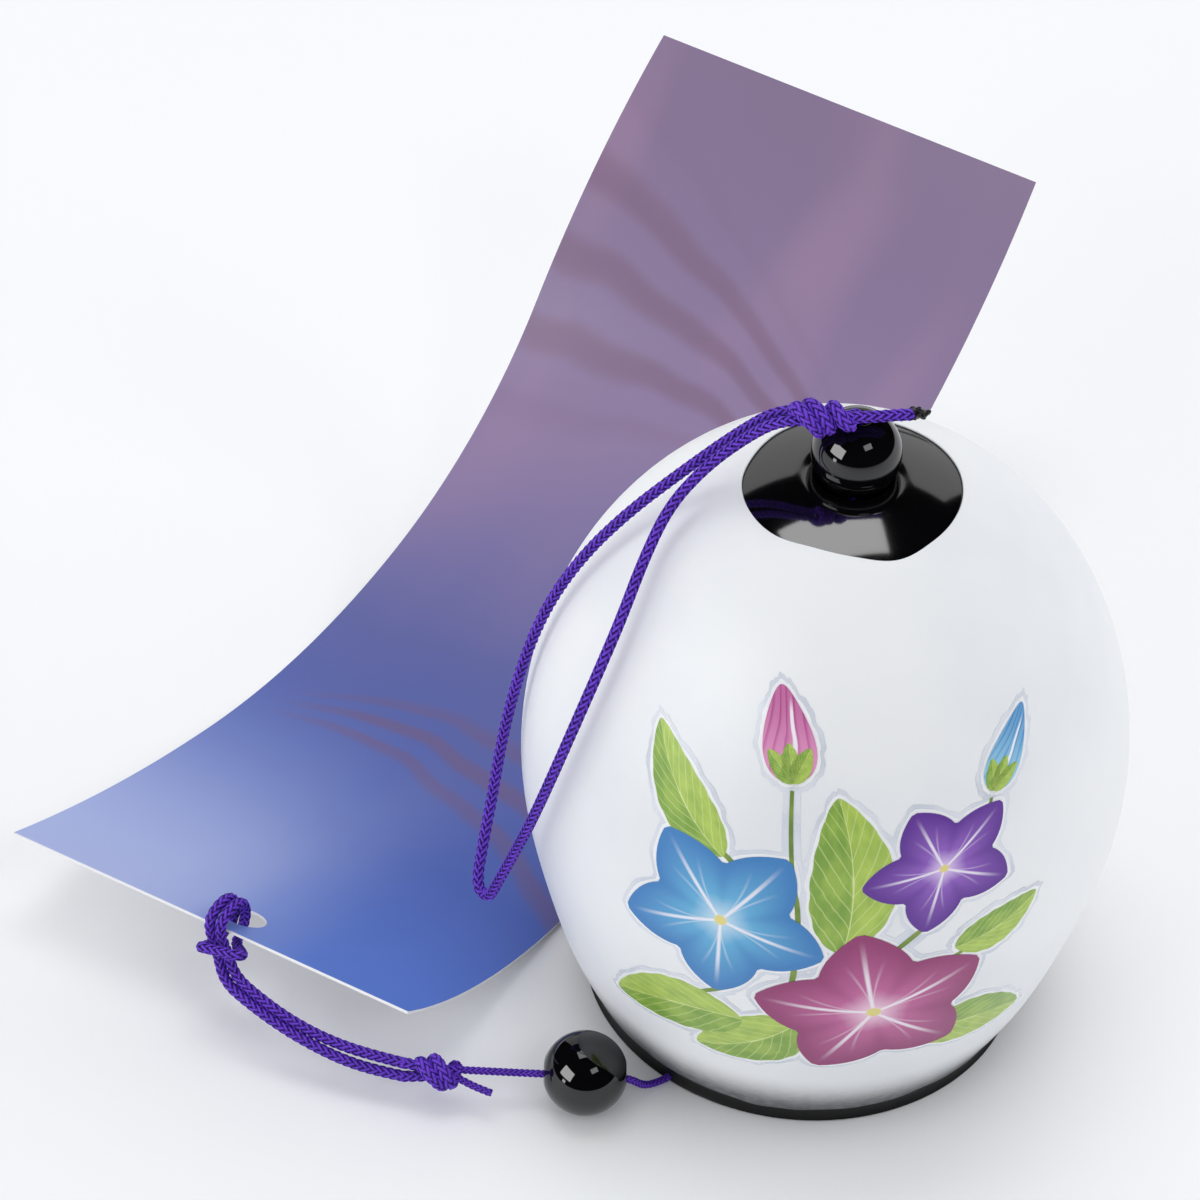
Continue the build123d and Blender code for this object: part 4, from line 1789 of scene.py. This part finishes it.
@dataclass
class StripLine:
    """Doubled cord from the lower knot to the strip, hitched through its hole."""

    strip: PaperStrip
    thickness: float = 1.4
    margin: float = 2.8
    back_strand: Tuple[Point, ...] = (
        (-46.3, -25.6, 5.65), (-50.2, -24.6, 5.6), (-54.0, -23.5, 5.8), (-57.5, -22.3, 6.4),
        (-61.0, -20.9, 7.5), (-64.1, -19.1, 8.5), (-66.7, -17.3, 9.4),
    )
    front_strand: Tuple[Point, ...] = (
        (-46.3, -26.3, 4.15), (-50.0, -25.75, 4.35), (-53.8, -24.8, 4.8), (-57.3, -23.5, 5.5),
        (-61.0, -21.9, 6.5), (-64.9, -19.7, 7.7), (-68.2, -17.4, 8.8),
    )
    left_hitch: Tuple[Point, ...] = (
        (-0.6, -1.35, -3.0), (0.1, -1.45, -1.9), (0.8, -2.0, -0.6), (1.0, -2.35, 0.8), (1.0, -1.5, 2.3),
        (1.0, 0.2, 3.15), (1.0, 2.0, 2.7), (1.0, 3.1, 1.0), (1.05, 3.1, -0.8), (1.3, 2.2, -2.1),
        (1.4, 0.6, -2.9), (1.3, -1.0, -3.1), (1.1, -2.4, -2.8), (0.5, -3.15, -2.5), (-0.8, -3.2, -2.2),
    )
    right_hitch: Tuple[Point, ...] = (
        (-2.05, -1.35, -3.0), (-1.35, -1.45, -1.9), (-0.65, -2.0, -0.6), (-0.45, -2.35, 0.8),
        (-0.45, -1.5, 2.3), (-0.45, 0.2, 3.15), (-0.45, 2.0, 2.7), (-0.45, 3.1, 1.0), (-0.5, 3.1, -0.8),
        (-0.75, 2.2, -1.9), (-1.7, 0.6, -2.1), (-3.4, -1.0, -1.9), (-4.3, -2.3, -1.6), (-3.9, -3.15, -1.6),
        (-2.6, -3.2, -1.9),
    )
    bends: Tuple[Point, Point] = ((-64.6, -18.9, 8.5), (-68.6, -16.4, 9.5))

    def margin_place(self, place: Point) -> Point:
        """Turn a place by the strip's margin into the frame's own.

        Args:
            place: Distance to the left, into the strip and up from the margin's middle.

        Returns:
            The same place in millimetres of the frame.
        """
        across = np.array(self.strip.punch_across)
        along = np.array(self.margin / 2)
        leftward, inward, off = self.strip.axes(across, along)
        middle = self.strip.spots(across, along)
        return tuple(middle + leftward * place[0] + inward * place[1] + off * place[2])

    def route(self) -> List[Point]:
        """Lay the cord up one strand, through its hitch and down the other."""
        left = [self.margin_place(place) for place in self.left_hitch]
        right = [self.margin_place(place) for place in self.right_hitch]
        return [*self.back_strand, *right, *left[::-1], *self.front_strand[::-1]]

    def dress(self, yarn: bpy.types.Material) -> bpy.types.Object:
        """Braid the doubled cord along its route from the knot to the strip."""
        line = CordLine("strip_line", self.route()).points()
        piece = Braid(self.thickness).build("strip_line", [line])
        Bench.dress(piece, yarn)
        nodes = ("strip_cord", "strip_hitch")
        cord = SoftCord((Body.TAIL, Body.STRIP), self.bends, nodes, self.thickness, "object")
        return cord.tell(piece, line)


class LampUse(Enum):
    """What a lamp is for: whether it lights matt surfaces and whether glossy ones show it."""

    BOTH = (True, True)
    FILL = (True, False)
    GLINT = (False, True)


@dataclass(frozen=True)
class SoftLamp:
    """One soft box: its place, its width, height and power, its use and what it faces."""

    name: str
    place: Point
    width: float
    height: float
    power: float
    use: LampUse = LampUse.BOTH
    target: Point = (0.0, 0.0, 0.03)


@dataclass
class Studio:
    """White floor, soft light and the camera of the photograph."""

    camera_place: Point = (-26.79, -329.62, 361.79)
    right: Point = (0.9983, 0.039, 0.0422)
    up: Point = (-0.0575, 0.6778, 0.733)
    ahead: Point = (0.0, 0.7342, -0.6789)
    lens: float = 120.0
    sensor: float = 36.0
    clip_near: float = 0.01
    clip_far: float = 20.0
    floor_size: float = 6.0
    sky: Colour = tint(250, 251, 253)
    sky_strength: float = 0.6
    lamps: Tuple[SoftLamp, ...] = (
        SoftLamp("top_box", (-0.06, 0.2, 1.0), 0.66, 0.4, 2.1),
        SoftLamp("back_wall", (0.0, 1.15, 0.5), 1.6, 0.9, 2.8),
        SoftLamp("left_box", (-0.85, -0.55, 0.5), 0.7, 0.5, 1.8, LampUse.FILL),
        SoftLamp("left_window", (-0.8, -0.52, 0.47), 0.66, 0.47, 6.0, LampUse.GLINT),
        SoftLamp("right_window", (0.34, -0.46, 0.69), 0.3, 0.2, 0.5),
        SoftLamp("left_card", (-0.66, -0.46, 0.08), 0.12, 0.1, 0.2),
        SoftLamp("left_wall", (-1.0, 0.1, 0.38), 0.8, 0.6, 1.6, LampUse.FILL),
        SoftLamp("right_wall", (1.0, 0.1, 0.38), 0.8, 0.6, 2.9, LampUse.FILL),
    )

    def set_up(self) -> None:
        """Lay the floor, hang the lamps and place the camera."""
        scene = bpy.context.scene
        scene.view_settings.view_transform = "Standard"
        Bench.clear()
        bpy.ops.mesh.primitive_plane_add(size=self.floor_size)
        floor = bpy.context.object
        floor.name = "studio_floor"
        Bench.dress(floor, PaleFloor().material())
        world = bpy.data.worlds.new("studio_sky")
        world.use_nodes = True
        background = world.node_tree.nodes["Background"]
        background.inputs["Color"].default_value = self.sky
        background.inputs["Strength"].default_value = self.sky_strength
        world.cycles_visibility.glossy = False
        scene.world = world
        for lamp in self.lamps:
            self._hang(lamp)
        self._place_camera()

    @staticmethod
    def _hang(lamp: SoftLamp) -> None:
        """Hang one soft box and aim it."""
        light = bpy.data.lights.new(lamp.name, "AREA")
        light.shape = "RECTANGLE"
        light.size = lamp.width
        light.size_y = lamp.height
        light.energy = lamp.power
        holder = bpy.data.objects.new(lamp.name, light)
        holder.location = lamp.place
        holder.visible_diffuse, holder.visible_glossy = lamp.use.value
        aim = Vector(lamp.target) - Vector(lamp.place)
        holder.rotation_euler = aim.to_track_quat("-Z", "Y").to_euler()
        bpy.context.scene.collection.objects.link(holder)

    def _place_camera(self) -> None:
        """Place the camera as the photograph was taken."""
        camera = bpy.data.cameras.new("photo_camera")
        camera.lens = self.lens
        camera.sensor_width = self.sensor
        camera.clip_start = self.clip_near
        camera.clip_end = self.clip_far
        holder = bpy.data.objects.new("photo_camera", camera)
        bpy.context.scene.collection.objects.link(holder)
        back = -Vector(self.ahead)
        turn = Matrix((self.right, self.up, back)).transposed().to_4x4()
        holder.matrix_world = Matrix.Translation(Vector(self.camera_place) * MM) @ turn
        bpy.context.scene.camera = holder


def main() -> None:
    """Build the wind bell's looks round the frame."""
    logging.basicConfig(level=logging.INFO, format="%(name)s: %(message)s")
    Studio().set_up()
    yarn = BraidYarn().material()
    HangingLoop().dress(yarn)
    ClapperLine().dress(yarn)
    strip = PaperStrip()
    strip.dress(StripLine(strip).dress(yarn))
    shape = BellShape()
    GlassBell(shape).dress()
    SprayedCoat(shape).dress()
    FlowerSpray(shape).dress()
    gloss = BEAD_GLOSS.material()
    for bead in BEADS:
        bead.dress(gloss)


if __name__ == "__main__":
    main()
